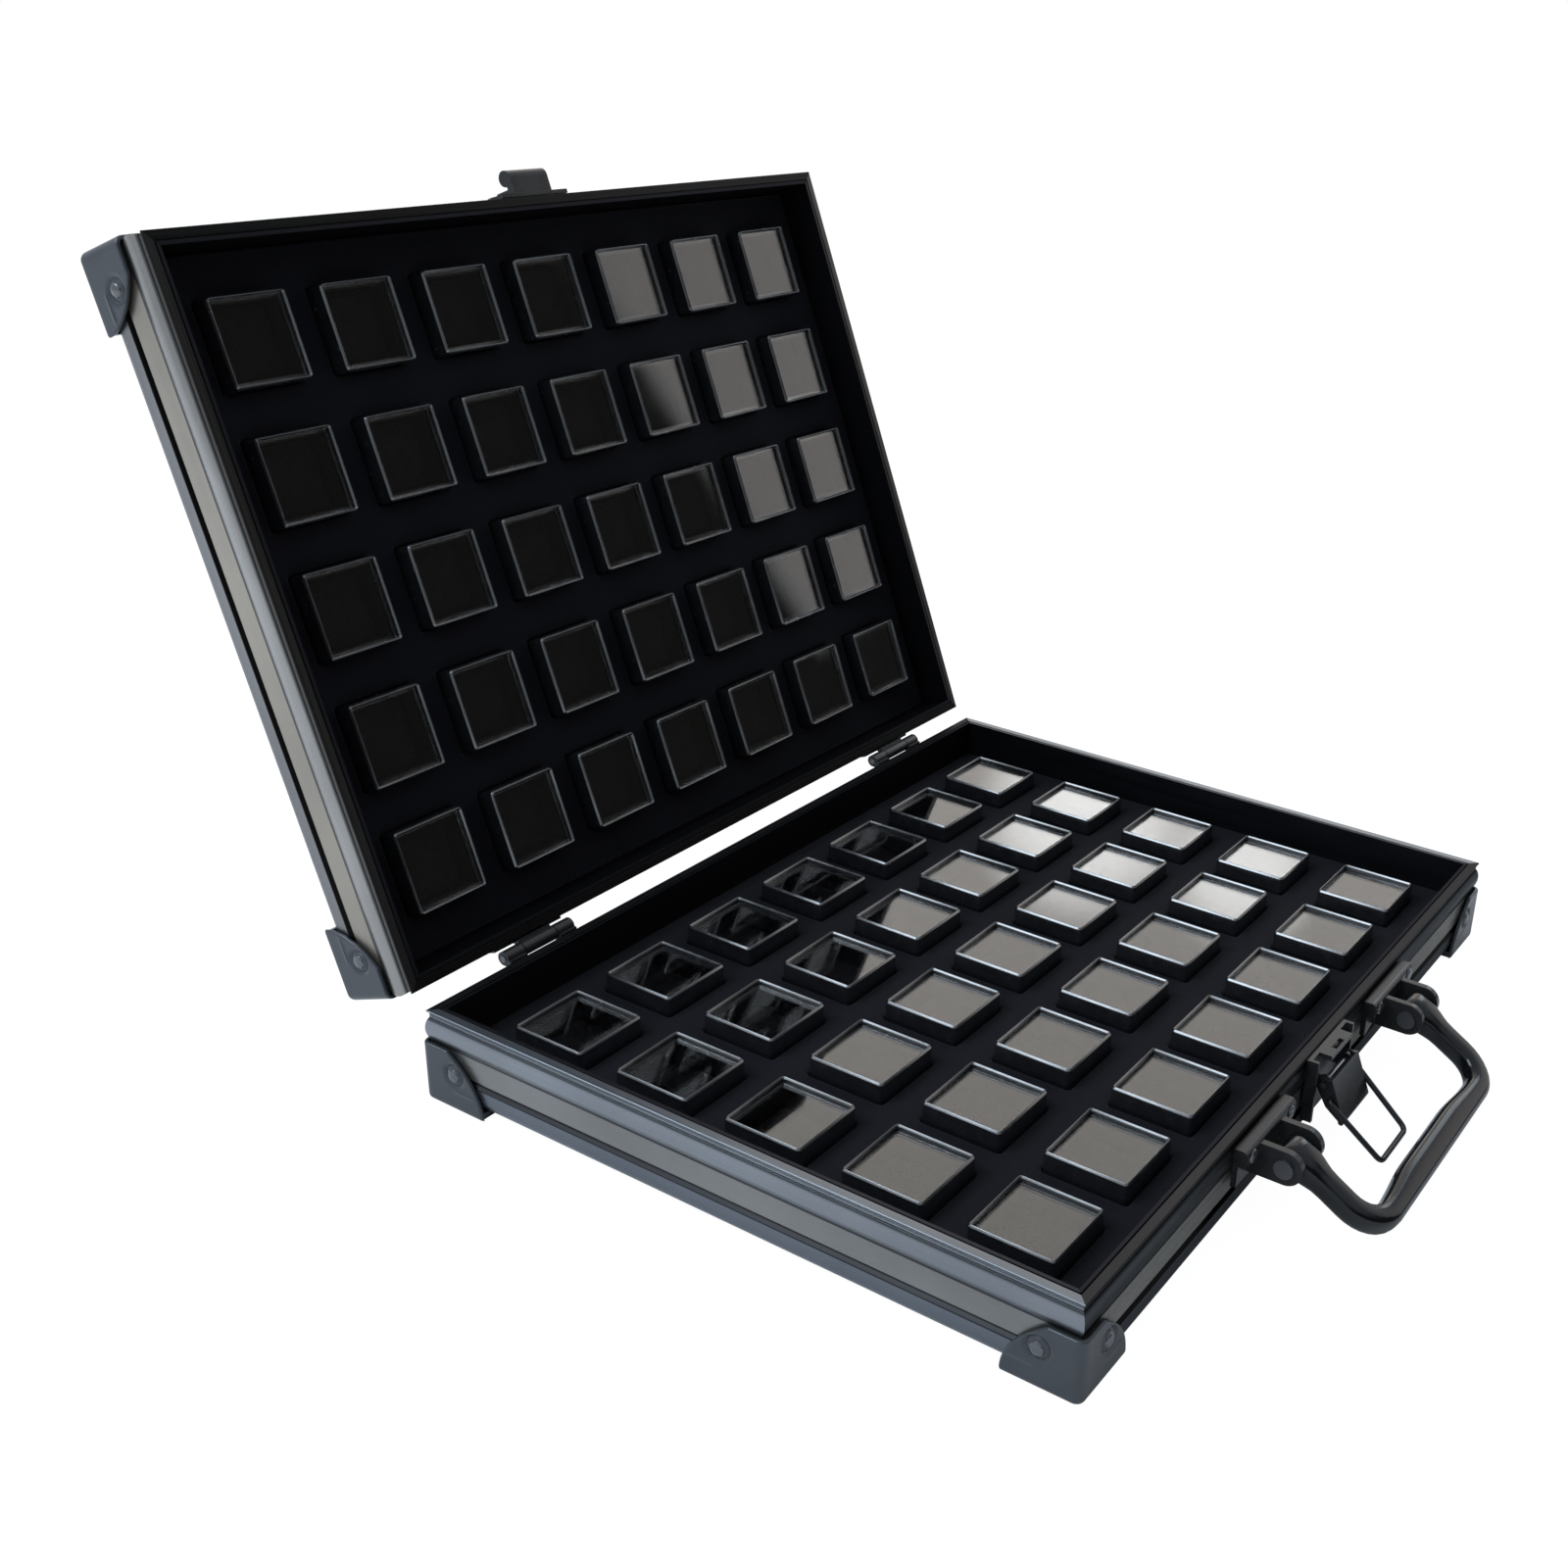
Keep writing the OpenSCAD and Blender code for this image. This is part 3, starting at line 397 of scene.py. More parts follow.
def tray_shape():
    """The foam tray, with soft lips round its pockets and a soft outer edge."""
    shape = Shape()
    lip = 1.3
    border = 0.9
    for column in range(COLUMNS):
        for row in range(ROWS):
            middle = box_place(column, row)
            low = [middle.x - PITCH_X / 2, middle.y - PITCH_Y / 2]
            high = [middle.x + PITCH_X / 2, middle.y + PITCH_Y / 2]
            if column == 0:
                low[0] = border - TRAY_HALF_X
            if column == COLUMNS - 1:
                high[0] = TRAY_HALF_X - border
            if row == 0:
                low[1] = border - TRAY_HALF_Y
            if row == ROWS - 1:
                high[1] = TRAY_HALF_Y - border
            rings = [cell_ring(low, high, 5, FOAM_Z)]
            profile = [(POCKET_HALF + lip + 0.8, FOAM_Z)]
            for angle in (90, 115, 140, 160, 180):
                turn = math.radians(angle)
                half = POCKET_HALF + lip + lip * math.cos(turn)
                profile.append((half, FOAM_Z - lip + lip * math.sin(turn)))
            profile += [(POCKET_HALF, POCKET_Z + 0.4), (POCKET_HALF - 0.4, POCKET_Z)]
            for half, z in profile:
                ring = rounded_square(half, 1.4 + 0.5 * (half - POCKET_HALF), z)
                rings.append([(x + middle.x, y + middle.y, height) for x, y, height in ring])
            shape.loft(rings, start_cap=False)
    skirt = []
    for inset, z in ((border, FOAM_Z), (0.3, FOAM_Z - 0.25), (0, FOAM_Z - border), (0, TRAY_LOW)):
        x = TRAY_HALF_X - inset
        y = TRAY_HALF_Y - inset
        skirt.append([(x, y, z), (-x, y, z), (-x, -y, z), (x, -y, z)])
    shape.loft(skirt[::-1], end_cap=False)
    return shape


def guard_reach(z):
    """How far a guard reaches along a side at one height: a curve that drops from its level top edge."""
    t = (z - GUARD_LOW) / (GUARD_TOP - GUARD_LOW)
    return GUARD_REACH - (GUARD_REACH - GUARD_FLAT) * t ** 2.2


def edge_drop(distance, radius):
    """How far a surface falls away near an edge that is rounded to the given radius."""
    if distance >= radius:
        return 0.0
    return radius - math.sqrt(max(0.0, radius * radius - (radius - distance) ** 2))


def bell(value, shape):
    """1 at the shape's place, falling to 0 over its width to both sides."""
    return math.exp(-(((value - shape["at"]) / shape["width"]) ** 2))


def guard_height(x, z):
    """How far a guard's wing stands out: rounded edges, a groove round the rivet and a ledge line."""
    reach = guard_reach(z)
    edge = max(edge_drop(GUARD_TOP - z, GUARD_EDGE), edge_drop((reach - x) * 0.8, GUARD_EDGE))
    height = GUARD_OUT - edge
    height -= edge_drop(z - GUARD_LOW, GUARD_FOOT_EDGE) * GUARD_FOOT_SHARE
    away = math.hypot(x - GUARD_RIVET[0], z - GUARD_RIVET[1])
    groove = GROOVE["depth"] * bell(away, GROOVE)
    ledge = LEDGE["rise"] * bell(z, LEDGE) * smooth_step(x, 12.5, 14) * smooth_step(reach - x, 0.5, 2)
    return max(0.05, height - groove + ledge)


def guard_point(along, out, z):
    """A point on the guard's path round the corner, from one wing's end to the other's."""
    middle = GUARD_ROUND - GUARD_OUT
    half_arc = math.pi * GUARD_ROUND / 4
    if along > half_arc:
        return (middle + along - half_arc, -out, z)
    if along < -half_arc:
        return (-out, middle - along - half_arc, z)
    turn = math.radians(225 + 45 * along / half_arc)
    radius = out + middle
    return (middle + radius * math.cos(turn), middle + radius * math.sin(turn), z)


def guard_shape():
    """One corner guard for a corner at the origin, with the case towards +X and +Y."""
    shape = Shape()
    rows = 52
    wing_steps = 40
    arc_steps = 6
    middle = GUARD_ROUND - GUARD_OUT
    half_arc = math.pi * GUARD_ROUND / 4
    outer = []
    back = []
    for j in range(rows + 1):
        z = GUARD_LOW + (GUARD_TOP - GUARD_LOW) * (1 - math.cos(math.pi * j / rows)) / 2
        length = guard_reach(z) - middle
        wing = [half_arc + length * math.sin(math.pi / 2 * i / wing_steps) for i in range(wing_steps + 1)]
        arc = [half_arc * (2 * i / arc_steps - 1) for i in range(1, arc_steps)]
        path = [-s for s in reversed(wing)] + arc + wing
        outer.append([guard_point(s, guard_height(middle + abs(s) - half_arc, z), z) for s in path])
        back.append([guard_point(s, 0.02, z) for s in (-wing[-1], -half_arc, 0, half_arc, wing[-1])])
    width = len(outer[0])
    faces = []
    for j in range(rows):
        for i in range(width - 1):
            a = j * width + i
            faces.append((a, a + 1, a + width + 1, a + width))
    first = (rows + 1) * width
    stops = [0, wing_steps, wing_steps + arc_steps // 2, wing_steps + arc_steps, width - 1]
    for j in range(rows):
        for i in range(4):
            a = first + j * 5 + i
            faces.append((a, a + 5, a + 6, a + 1))
        for side, column in ((0, 0), (4, width - 1)):
            a = j * width + column
            b = first + j * 5 + side
            faces.append((a, a + width, b + 5, b))
    for j in (0, rows):
        for i in range(4):
            edge = [j * width + k for k in range(stops[i], stops[i + 1] + 1)]
            faces.append(edge + [first + j * 5 + i + 1, first + j * 5 + i])
    shape.add([point for row in outer + back for point in row], faces)
    end = GUARD_REACH - 0.5
    foot = GUARD_FOOT
    chamfer = 0.3
    plan = [(0, 0), (end, 0), (end, foot), (foot, foot), (foot, end), (0, end)]
    low_end = end - chamfer
    low_foot = foot - chamfer
    inner = [(chamfer, chamfer), (low_end, chamfer), (low_end, low_foot), (low_foot, low_foot),
             (low_foot, low_end), (chamfer, low_end)]
    levels = ((inner, GUARD_LOW), (plan, GUARD_LOW + chamfer), (plan, -0.03))
    shape.loft([[(x, y, z) for x, y in outline] for outline, z in levels])
    return shape


def make_guards(material):
    """The eight corner guards."""
    corners = {
        "front_left": (-1, -1, 0), "front_right": (1, -1, 90),
        "back_right": (1, 1, 180), "back_left": (-1, 1, 270),
    }
    shape = guard_shape()
    for half, place in HALVES.items():
        for corner, (side_x, side_y, turn) in corners.items():
            at = Vector((side_x * CASE_HALF_X, side_y * CASE_HALF_Y, 0)) * MM
            local = Matrix.Translation(at) @ Matrix.Rotation(math.radians(turn), 4, "Z")
            node = f"{half}_guard_{corner}"
            make_piece(f"{node}_pressed", shape, half, material, [node], place @ local)


def handle_stations():
    """Right half of the handle: place, heading and half sizes inwards, outwards and upwards."""
    stations = []
    for angle in (84, 72, 58, 42, 26, 12, 0):
        turn = math.radians(angle)
        up = HANDLE_BOSS * math.cos(turn)
        stations.append((HANDLE_X, HANDLE_BOSS * math.sin(turn), -90, ARM_SIDE, ARM_SIDE, up))
    corner_y = HANDLE_REACH - HANDLE_BEND
    for y in (3, 5, 7, 9, 11, 14, 18, corner_y):
        t = smooth_step(y, 3, 13)
        side = ARM_SIDE - 1.8 * t
        stations.append((HANDLE_X, -y, -90, side, side, HANDLE_BOSS - 1.1 * t))
    for step in range(1, 9):
        turn = math.radians(90 * step / 8)
        x = HANDLE_X - HANDLE_BEND + HANDLE_BEND * math.cos(turn)
        y = corner_y + HANDLE_BEND * math.sin(turn)
        t = step / 8
        stations.append((x, -y, -90 - 90 * t, GRIP_SIDE, GRIP_SIDE + 0.05 * t, 4.1 + 0.1 * t))
    start = HANDLE_X - HANDLE_BEND
    for step in range(1, 13):
        x = start * (1 - step / 12)
        t = smooth_step(start - x, 2, 24)
        inner = GRIP_SIDE + GRIP_SWELL * t
        stations.append((x, -HANDLE_REACH, -180, inner, GRIP_OUTER, GRIP_SIDE + 0.05 * t))
    return stations


def handle_ring(station, count=32, power=3.0):
    """The handle's section at one station, a square with full round corners."""
    x, y, heading, inner, outer, up = station
    way = Vector((math.cos(math.radians(heading)), math.sin(math.radians(heading)), 0))
    inwards = Vector((way.y, -way.x, 0))
    ring = []
    for i in range(count):
        turn = -2 * math.pi * i / count
        c = math.copysign(abs(math.cos(turn)) ** (2 / power), math.cos(turn))
        s = math.copysign(abs(math.sin(turn)) ** (2 / power), math.sin(turn))
        side = inner * c if c > 0 else outer * c
        ring.append(Vector((x, y, 0)) + inwards * side + Vector((0, 0, up * s)))
    return ring


def make_handle(material):
    """The drop handle: its right half's stations, then the same ones mirrored."""
    right = handle_stations()
    left = [(-x, y, -heading, *sizes) for x, y, heading, *sizes in reversed(right[:-1])]
    shape = Shape()
    shape.loft([handle_ring(station) for station in right + left])
    pivot = Matrix.Translation(joints["handle_pivot"]["pos_m"])
    place = pivot @ Matrix.Rotation(HANDLE_TILT, 4, "X")
    make_piece("handle_moulding", shape, "handle", material, ["handle"], place, sharp=60)


def rounded_path(points, radii, steps=6):
    """A path of straight runs whose inner corners are rounded."""
    path = [points[0]]
    for before, corner, after, radius in zip(points, points[1:], points[2:], radii):
        start = corner + (before - corner).normalized() * radius
        end = corner + (after - corner).normalized() * radius
        for step in range(steps + 1):
            t = step / steps
            path.append(start * (1 - t) ** 2 + corner * 2 * t * (1 - t) + end * t * t)
    return path + [points[-1]]


def make_wire(material):
    """The latch's bent wire loop."""
    right = [(WIRE_TAIL, 0, 0), (WIRE_HALF, 0, 0), (WIRE_END_HALF, -WIRE_LENGTH, 0)]
    left = [(-x, y, z) for x, y, z in reversed(right)]
    path = rounded_path([Vector(corner) for corner in right + left], WIRE_BENDS)
    up = Vector((0, 0, 1))
    turns = [2 * math.pi * k / WIRE_SIDES for k in range(WIRE_SIDES)]
    rings = []
    for i, point in enumerate(path):
        before = path[max(0, i - 1)]
        after = path[min(len(path) - 1, i + 1)]
        side = (after - before).normalized().cross(up)
        rings.append([point + WIRE_R * (side * math.cos(turn) + up * math.sin(turn)) for turn in turns])
    shape = Shape()
    shape.loft(rings)
    pivot = Matrix.Translation(joints["latch_wire_pivot"]["pos_m"])
    place = pivot @ Matrix.Rotation(WIRE_TILT, 4, "X")
    make_piece("latch_wire_bent", shape, "latch_wire", material, ["latch_wire"], place,
               sharp=60)


def make_boxes(materials):
    """Covers, windows and pads of all the boxes, and the loose sample box's own."""
    cover = cover_shape()
    window = window_shape()
    pad = pad_shape()
    for half, place in HALVES.items():
        for kind, single in (("cover", cover), ("window", window), ("pad", pad)):
            shape = Shape()
            shape.repeat(single, box_places(half))
            node = f"{half}_box_{kind}s"
            piece = make_piece(f"{node}_fine", shape, half, materials[f"box_{kind}"],
                               [node], place, sharp=SHARP[kind])
    for kind, single, body in (("cover", cover, "sample_cover"), ("window", window, "sample_cover"),
                               ("pad", pad, "sample_box")):
        shape = Shape()
        shape.repeat(single, [box_place(0, 0)])
        piece = make_piece(f"sample_{kind}_fine", shape, body, materials[f"box_{kind}"],
                           [f"sample_{kind}"], sharp=SHARP[kind])


def make_trays(material):
    """The two foam trays."""
    shape = tray_shape()
    for half, place in HALVES.items():
        make_piece(f"{half}_foam_soft", shape, half, material, [f"{half}_foam_tray"], place,
                   sharp=70, tidy=False)


# Material building blocks


class Graph:
    """Short ways to add nodes to a shader tree."""

    def __init__(self, tree):
        self.tree = tree

    def add(self, kind, **values):
        node = self.tree.nodes.new(kind)
        for key, value in values.items():
            setattr(node, key, value)
        return node

    def link(self, source, target):
        self.tree.links.new(source, target)

    def feed(self, socket, value):
        if isinstance(value, bpy.types.NodeSocket):
            self.link(value, socket)
        else:
            socket.default_value = value

    def maths(self, operation, first, second=0.0):
        node = self.add("ShaderNodeMath", operation=operation)
        self.feed(node.inputs[0], first)
        self.feed(node.inputs[1], second)
        return node.outputs[0]

    def ramp(self, source, low, high, start=0.3, end=0.7, smooth=False):
        node = self.add("ShaderNodeMapRange", interpolation_type="SMOOTHSTEP" if smooth else "LINEAR")
        node.inputs["From Min"].default_value = start
        node.inputs["From Max"].default_value = end
        node.inputs["To Min"].default_value = low
        node.inputs["To Max"].default_value = high
        self.link(source, node.inputs["Value"])
        return node.outputs["Result"]

    def glow(self, way, middle, outer, inner):
        """1 within the inner angle of one direction, fading to 0 at the outer angle."""
        node = self.add("ShaderNodeVectorMath", operation="DOT_PRODUCT")
        self.link(way, node.inputs[0])
        node.inputs[1].default_value = Vector(middle).normalized()
        cosines = [math.cos(math.radians(angle)) for angle in (outer, inner)]
        return self.ramp(node.outputs["Value"], 0, 1, *cosines, smooth=True)

    def mix(self, factor, first, second):
        node = self.add("ShaderNodeMix", data_type="RGBA")
        self.feed(node.inputs["Factor"], factor)
        for socket, value in (("A", first), ("B", second)):
            colour = value if isinstance(value, bpy.types.NodeSocket) else (*value, 1)
            self.feed(next(s for s in node.inputs if s.name == socket and s.type == "RGBA"), colour)
        return next(s for s in node.outputs if s.type == "RGBA")


class Build(Graph):
    """A node material under construction, with its principled shader."""

    def __init__(self, name, colour, roughness, metallic=0.0):
        self.mat = bpy.data.materials.new(name)
        self.mat.use_nodes = True
        super().__init__(self.mat.node_tree)
        self.shader = self.tree.nodes["Principled BSDF"]
        self.set("Base Color", (*colour, 1))
        self.set("Roughness", roughness)
        self.set("Metallic", metallic)

    def set(self, socket, value):
        self.shader.inputs[socket].default_value = value

    def drive(self, socket, source):
        self.link(source, self.shader.inputs[socket])

    def coords(self, scale=(1, 1, 1), rotation=(0, 0, 0), location=(0, 0, 0), vector=None):
        if vector is None:
            vector = self.add("ShaderNodeTexCoord").outputs["Object"]
        mapping = self.add("ShaderNodeMapping")
        mapping.inputs["Scale"].default_value = scale
        mapping.inputs["Rotation"].default_value = rotation
        mapping.inputs["Location"].default_value = location
        self.link(vector, mapping.inputs["Vector"])
        return mapping.outputs["Vector"]

    def base_coords(self, half):
        """Object coordinates, for the lid turned back onto the base's twin."""
        if half == "base":
            return self.coords()
        back = Matrix.Rotation(OPEN_ANGLE, 3, "X")
        shut = self.coords(rotation=(OPEN_ANGLE, 0, 0), location=HINGE - back @ HINGE)
        return self.coords(scale=(1, 1, -1), location=(0, 0, 2 * HINGE.z), vector=shut)

    def noise(self, vector, scale, detail=3.0, roughness=0.55):
        node = self.add("ShaderNodeTexNoise")
        node.inputs["Scale"].default_value = scale
        node.inputs["Detail"].default_value = detail
        node.inputs["Roughness"].default_value = roughness
        self.link(vector, node.inputs["Vector"])
        return node.outputs["Fac"]

    def cells(self, vector, scale):
        node = self.add("ShaderNodeTexVoronoi")
        node.inputs["Scale"].default_value = scale
        self.link(vector, node.inputs["Vector"])
        return node.outputs["Distance"]

    def bump(self, height, distance, strength=1.0):
        node = self.add("ShaderNodeBump")
        node.inputs["Distance"].default_value = distance
        node.inputs["Strength"].default_value = strength
        self.link(height, node.inputs["Height"])
        self.drive("Normal", node.outputs["Normal"])


def rail_material(half, along):
    """Dark anodised extrusion in bands, with drawn lines along it and a near-black inside. Its band colours carry
    painted shade in the grooves, painted highlights on the bead and rim, and painted shade on the front and back
    rails.
    """
    build = Build(f"rail_{half}_{along}", (0.15, 0.16, 0.17), 0.3, 0.85)
    # Front and back rails get a darker specular tint: painted shade on their reflections
    if along == "x":
        build.set("Specular Tint", (0.4, 0.4, 0.4, 1))
    place = build.base_coords(half)
    split = build.add("ShaderNodeSeparateXYZ")
    build.link(place, split.inputs["Vector"])
    height = split.outputs["Z"]
    across = split.outputs["Y"] if along == "x" else split.outputs["X"]
    reach = (CASE_HALF_Y if along == "x" else CASE_HALF_X) * MM
    depth = build.maths("SUBTRACT", reach, build.maths("ABSOLUTE", across))
    inner = build.ramp(depth, 0, 1, RAIL_INNER[0] * MM, RAIL_INNER[1] * MM)
    stretch = (6, 900, 900) if along == "x" else (900, 6, 900)
    lines = build.noise(build.coords(stretch, vector=place), 1.0, 4.0)
    tone = build.add("ShaderNodeValToRGB")
    tone.color_ramp.interpolation = "LINEAR"
    build.link(build.ramp(height, 0, 1, 0, RIM_Z * MM), tone.inputs["Fac"])
    stops = tone.color_ramp.elements
    # Each stop's colour holds painted light: dark groove stops are painted shade, bright bead stops are painted
    # highlight, and the front share is painted shade
    for z, colour, front in RAIL_TONES_AND_PAINTED_LIGHT:
        stop = stops.new(z / RIM_Z)
        share = front if along == "x" else 1.0
        stop.color = (*[part * share * tint for part, tint in zip(colour, RAIL_TINTS_AND_SIDE_SHADE[half, along])], 1)
    # The rim's tone is a painted highlight on the base's side rails and painted shade on the others
    for z in RIM_HEIGHTS:
        stops.new(z / RIM_Z).color = (*RIM_PAINTED_LIGHT[half, along], 1)
    stops.remove(stops[len(stops) - 1])
    stops.remove(stops[0])
    worn = build.ramp(build.noise(place, 18.0), 0.9, 1.12)
    outside = build.add("ShaderNodeVectorMath", operation="SCALE")
    build.link(tone.outputs["Color"], outside.inputs[0])
    build.link(worn, outside.inputs["Scale"])
    build.drive("Base Color", build.mix(inner, outside.outputs["Vector"], (0.018, 0.018, 0.022)))
    duller = build.maths("MULTIPLY", inner, 0.1)
    build.drive("Roughness", build.maths("ADD", build.ramp(lines, 0.24, 0.38), duller))
    build.bump(lines, 0.00004, 0.5)
    return build.mat


def panel_material():
    """Dark laminate with a fine leather-like grain."""
    build = Build("panel_laminate", (0.03, 0.032, 0.036), 0.5)
    place = build.coords()
    cells = build.cells(place, 700)
    cloud = build.noise(place, 40.0)
    build.drive("Base Color", build.mix(cloud, (0.022, 0.024, 0.027), (0.034, 0.036, 0.041)))
    build.drive("Roughness", build.ramp(cells, 0.42, 0.62))
    build.bump(cells, 0.0002, 0.6)
    return build.mat


def foam_material():
    """Black flocked foam with a soft, matt nap."""
    build = Build("tray_flock", (0.004, 0.004, 0.006), 0.95)
    place = build.coords()
    nap = build.noise(place, 45.0, 2.0)
    build.drive("Base Color", build.mix(nap, (0.004, 0.004, 0.0062), (0.006, 0.006, 0.009)))
    build.set("Sheen Weight", 0.03)
    build.set("Sheen Roughness", 0.5)
    build.set("Specular IOR Level", 0.1)
    build.bump(build.noise(place, 2600.0, 4.0, 0.7), 0.0004, 0.6)
    return build.mat


def plastic_material(name, colour, roughness, gloss=0.5, index=1.5):
    """Moulded plastic with faint flow marks and fine scuffs."""
    build = Build(name, colour, roughness)
    build.set("Specular IOR Level", gloss)
    build.set("IOR", index)
    scuff = build.noise(build.coords(), 260.0, 5.0)
    light = tuple(part * 1.25 + 0.0005 for part in colour)
    build.drive("Base Color", build.mix(build.ramp(scuff, 0, 1), colour, light))
    build.drive("Roughness", build.ramp(scuff, roughness - 0.03, roughness + 0.06))
    build.bump(scuff, 0.00004, 0.25)
    return build.mat


def coat_material(name, colour, roughness, metallic):
    """Coated metal with a fine orange-peel surface."""
    build = Build(name, colour, roughness, metallic)
    place = build.coords()
    cloud = build.noise(place, 60.0)
    light = tuple(part * 1.2 + 0.0005 for part in colour)
    build.drive("Base Color", build.mix(build.ramp(cloud, 0, 1), colour, light))
    build.drive("Roughness", build.ramp(cloud, roughness - 0.05, roughness + 0.07))
    build.bump(build.noise(place, 900.0, 2.0), 0.00006, 0.35)
    return build.mat


def window_material():
    """Clear, flat plastic window with faint cloudiness."""
    build = Build("window_clear", (1.0, 0.99, 0.97), 0.02)
    build.set("Transmission Weight", 1.0)
    build.set("IOR", 1.5)
    build.drive("Roughness", build.ramp(build.noise(build.coords(), 30.0, 1.0), 0.01, 0.03))
    return build.mat


def pad_material():
    """Black open-cell foam."""
    build = Build("pad_foam", (0.004, 0.004, 0.005), 0.95)
    cells = build.cells(build.coords(), 1500)
    build.drive("Base Color", build.mix(cells, (0.002, 0.002, 0.003), (0.009, 0.009, 0.011)))
    build.set("Specular IOR Level", 0.1)
    build.bump(cells, 0.0004, 0.5)
    return build.mat


def make_materials():
    """The material of every slot, and one for each direction of each half's rails, which differ mainly by painted
    light and shade.
    """
    materials = {
        "case_panel": panel_material(),
        "tray_foam": foam_material(),
        "corner_guard": coat_material("guard_coat", (0.05, 0.054, 0.061), 0.32, 0.5),
        "rivet_steel": coat_material("rivet_steel", (0.12, 0.123, 0.13), 0.2, 0.8),
        "box_cup": plastic_material("cup_plastic", (0.006, 0.0065, 0.008), 0.2),
        "box_cover": plastic_material("cover_plastic", (0.006, 0.0065, 0.008), 0.22, 1.0, 1.75),
        "box_window": window_material(),
        "box_pad": pad_material(),
        "handle_grip": plastic_material("handle_plastic", (0.003, 0.0033, 0.0042), 0.13, 0.35),
        "hardware": coat_material("hardware_coat", (0.022, 0.022, 0.023), 0.26, 0.4),
        "latch_wire": coat_material("wire_steel", (0.02, 0.021, 0.023), 0.3, 0.5),
    }
    for half in HALVES:
        for along in ("x", "y"):
            materials[f"rail_{half}_{along}"] = rail_material(half, along)
    return materials


def dress(materials):
    """Gives every CAD node its slot's material, and rounds the edges of rails, panels and hardware."""
    for row in record["subparts"]:
        name = row["node"]
        slot = row["material_slot"]
        key = slot
        if slot == "case_rail":
            # Each rail takes its side's copy, whose colours hold painted light and shade
            along = "x" if "front" in name or "back" in name else "y"
            key = f"rail_{name.split('_')[0]}_{along}"
        mesh = frame["nodes"][name].data
        if not mesh.materials:
            mesh.materials.append(materials[key])
        for holder in frame["nodes"][name].material_slots:
            holder.material = materials[key]
        if slot in EDGE_WIDTHS:
            soften(name, EDGE_WIDTHS[slot], materials[key])


# Stage, light and camera


def make_floor():
    """A pale floor just under the case, which the camera sees as nearly plain white."""
    mesh = bpy.data.meshes.new("floor")
    low = cad_box[0][2] - FLOOR_DROP
    signs = ((-1, -1), (1, -1), (1, 1), (-1, 1))
    corners = [(x * FLOOR_HALF, y * FLOOR_HALF, low) for x, y in signs]
    mesh.from_pydata(corners, [], [(0, 1, 2, 3)])
    floor = bpy.data.objects.new("floor", mesh)
    bpy.context.scene.collection.objects.link(floor)
    build = Build("floor_white", (0.85, 0.85, 0.85), 0.9)
    build.set("Specular IOR Level", 0.0)
    glow = build.add("ShaderNodeEmission")
    glow.inputs["Strength"].default_value = FLOOR_GLOW
    path = build.add("ShaderNodeLightPath")
    blend = build.add("ShaderNodeMixShader")
    share = build.maths("MULTIPLY", path.outputs["Is Camera Ray"], FLOOR_GLOW_SHARE)
    build.link(share, blend.inputs["Fac"])
    build.link(build.shader.outputs["BSDF"], blend.inputs[1])
    build.link(glow.outputs["Emission"], blend.inputs[2])
    build.link(blend.outputs["Shader"], build.tree.nodes["Material Output"].inputs["Surface"])
    mesh.materials.append(build.mat)


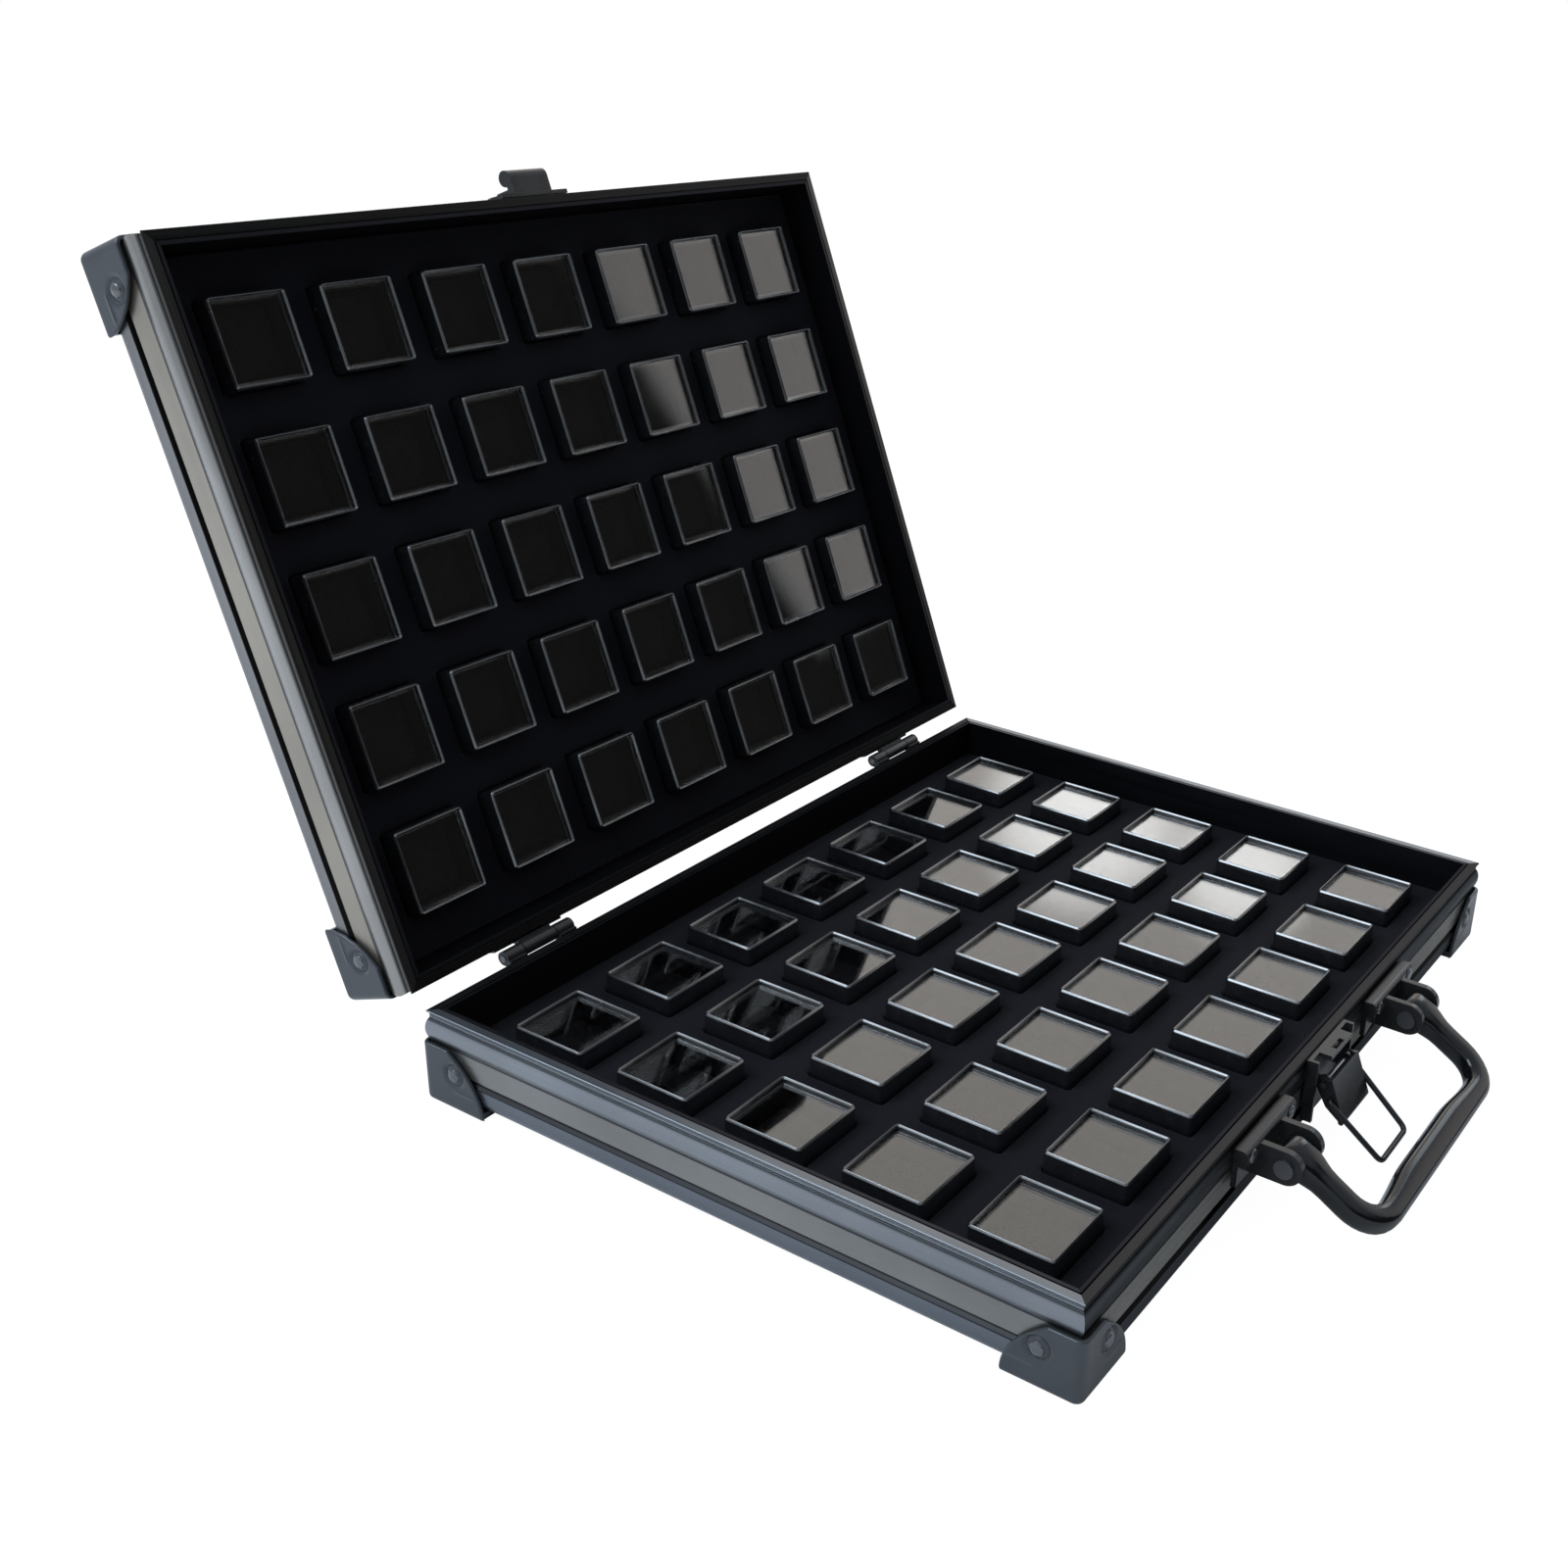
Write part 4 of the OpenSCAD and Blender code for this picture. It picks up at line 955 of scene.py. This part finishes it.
def make_world():
    """White to the camera. What the object sees is a bright room with a dark wall beyond its handle side."""
    world = bpy.data.worlds.new("studio")
    world.use_nodes = True
    bpy.context.scene.world = world
    graph = Graph(world.node_tree)
    way = graph.add("ShaderNodeTexCoord").outputs["Generated"]
    split = graph.add("ShaderNodeSeparateXYZ")
    graph.link(way, split.inputs["Vector"])
    azimuth = graph.maths("ARCTAN2", split.outputs["Y"], split.outputs["X"])
    right = graph.ramp(azimuth, 0, 1, *map(math.radians, RIGHT_EDGE), smooth=True)
    low = graph.ramp(split.outputs["Z"], 0, 1, *RIGHT_LOW, smooth=True)
    beyond = graph.ramp(azimuth, 0, 1, *map(math.radians, RIGHT_BEYOND), smooth=True)
    right = graph.maths("MINIMUM", right, graph.maths("MAXIMUM", low, beyond))
    left = graph.ramp(azimuth, 1, 0, *map(math.radians, LEFT_EDGE), smooth=True)
    high = graph.ramp(split.outputs["Z"], 0, 1, *CEILING, smooth=True)
    light = graph.maths("MAXIMUM", graph.maths("MAXIMUM", right, left), high)
    colour = graph.mix(light, ROOM_DARK, ROOM_BRIGHT)
    colour = graph.mix(graph.glow(way, *WARM_PANEL[:3]), colour, WARM_PANEL[3])
    pane = graph.maths("MULTIPLY", right, graph.glow(way, *PANE[:3]))
    colour = graph.mix(pane, colour, PANE[3])
    for middle, width in GLINTS:
        colour = graph.mix(graph.glow(way, middle, width, GLINT_CORE), colour, GLINT_COLOUR)
    room = graph.tree.nodes["Background"]
    graph.link(colour, room.inputs["Color"])
    white = graph.add("ShaderNodeBackground")
    white.inputs["Color"].default_value = (1, 1, 1, 1)
    path = graph.add("ShaderNodeLightPath")
    blend = graph.add("ShaderNodeMixShader")
    graph.link(path.outputs["Is Camera Ray"], blend.inputs["Fac"])
    graph.link(room.outputs["Background"], blend.inputs[1])
    graph.link(white.outputs["Background"], blend.inputs[2])
    graph.link(blend.outputs["Shader"], graph.tree.nodes["World Output"].inputs["Surface"])


def add_softbox(name, way, distance, size, glow, colour):
    """A rectangular lamp in one direction from the case, with a given brightness of its face."""
    data = bpy.data.lights.new(name, "AREA")
    data.shape = "RECTANGLE"
    data.size, data.size_y = size
    data.energy = glow * math.pi * size[0] * size[1]
    data.color = colour
    light = bpy.data.objects.new(name, data)
    place = Vector(way).normalized() * distance
    light.location = place
    light.rotation_euler = (-place).to_track_quat("-Z", "Y").to_euler()
    bpy.context.scene.collection.objects.link(light)


def make_lights():
    """A large softbox from the back left and a smaller one from the right, both cool."""
    add_softbox("left_softbox", (-0.5, 0.42, 0.74), 2.0, (1.2, 1.0), 7.0, (0.76, 0.88, 1.0))
    add_softbox("right_softbox", (0.85, -0.14, 0.5), 2.2, (0.7, 0.6), 2.5, (0.85, 0.93, 1.0))


def make_camera():
    """The fitted camera, with the photograph's view."""
    data = bpy.data.cameras.new("photo_camera")
    data.lens = CAMERA_LENS
    data.sensor_width = 36
    data.shift_x, data.shift_y = CAMERA_SHIFT
    data.clip_start = 0.01
    camera = bpy.data.objects.new("photo_camera", data)
    camera.location = CAMERA_AT
    camera.rotation_euler = Euler([math.radians(a) for a in CAMERA_TURN])
    bpy.context.scene.collection.objects.link(camera)
    bpy.context.scene.camera = camera


bpy.context.scene.view_settings.view_transform = "Standard"
make_camera()
finishes = make_materials()
dress(finishes)
make_boxes(finishes)
make_trays(finishes["tray_foam"])
make_guards(finishes["corner_guard"])
make_handle(finishes["handle_grip"])
make_wire(finishes["latch_wire"])
make_floor()
make_world()
make_lights()
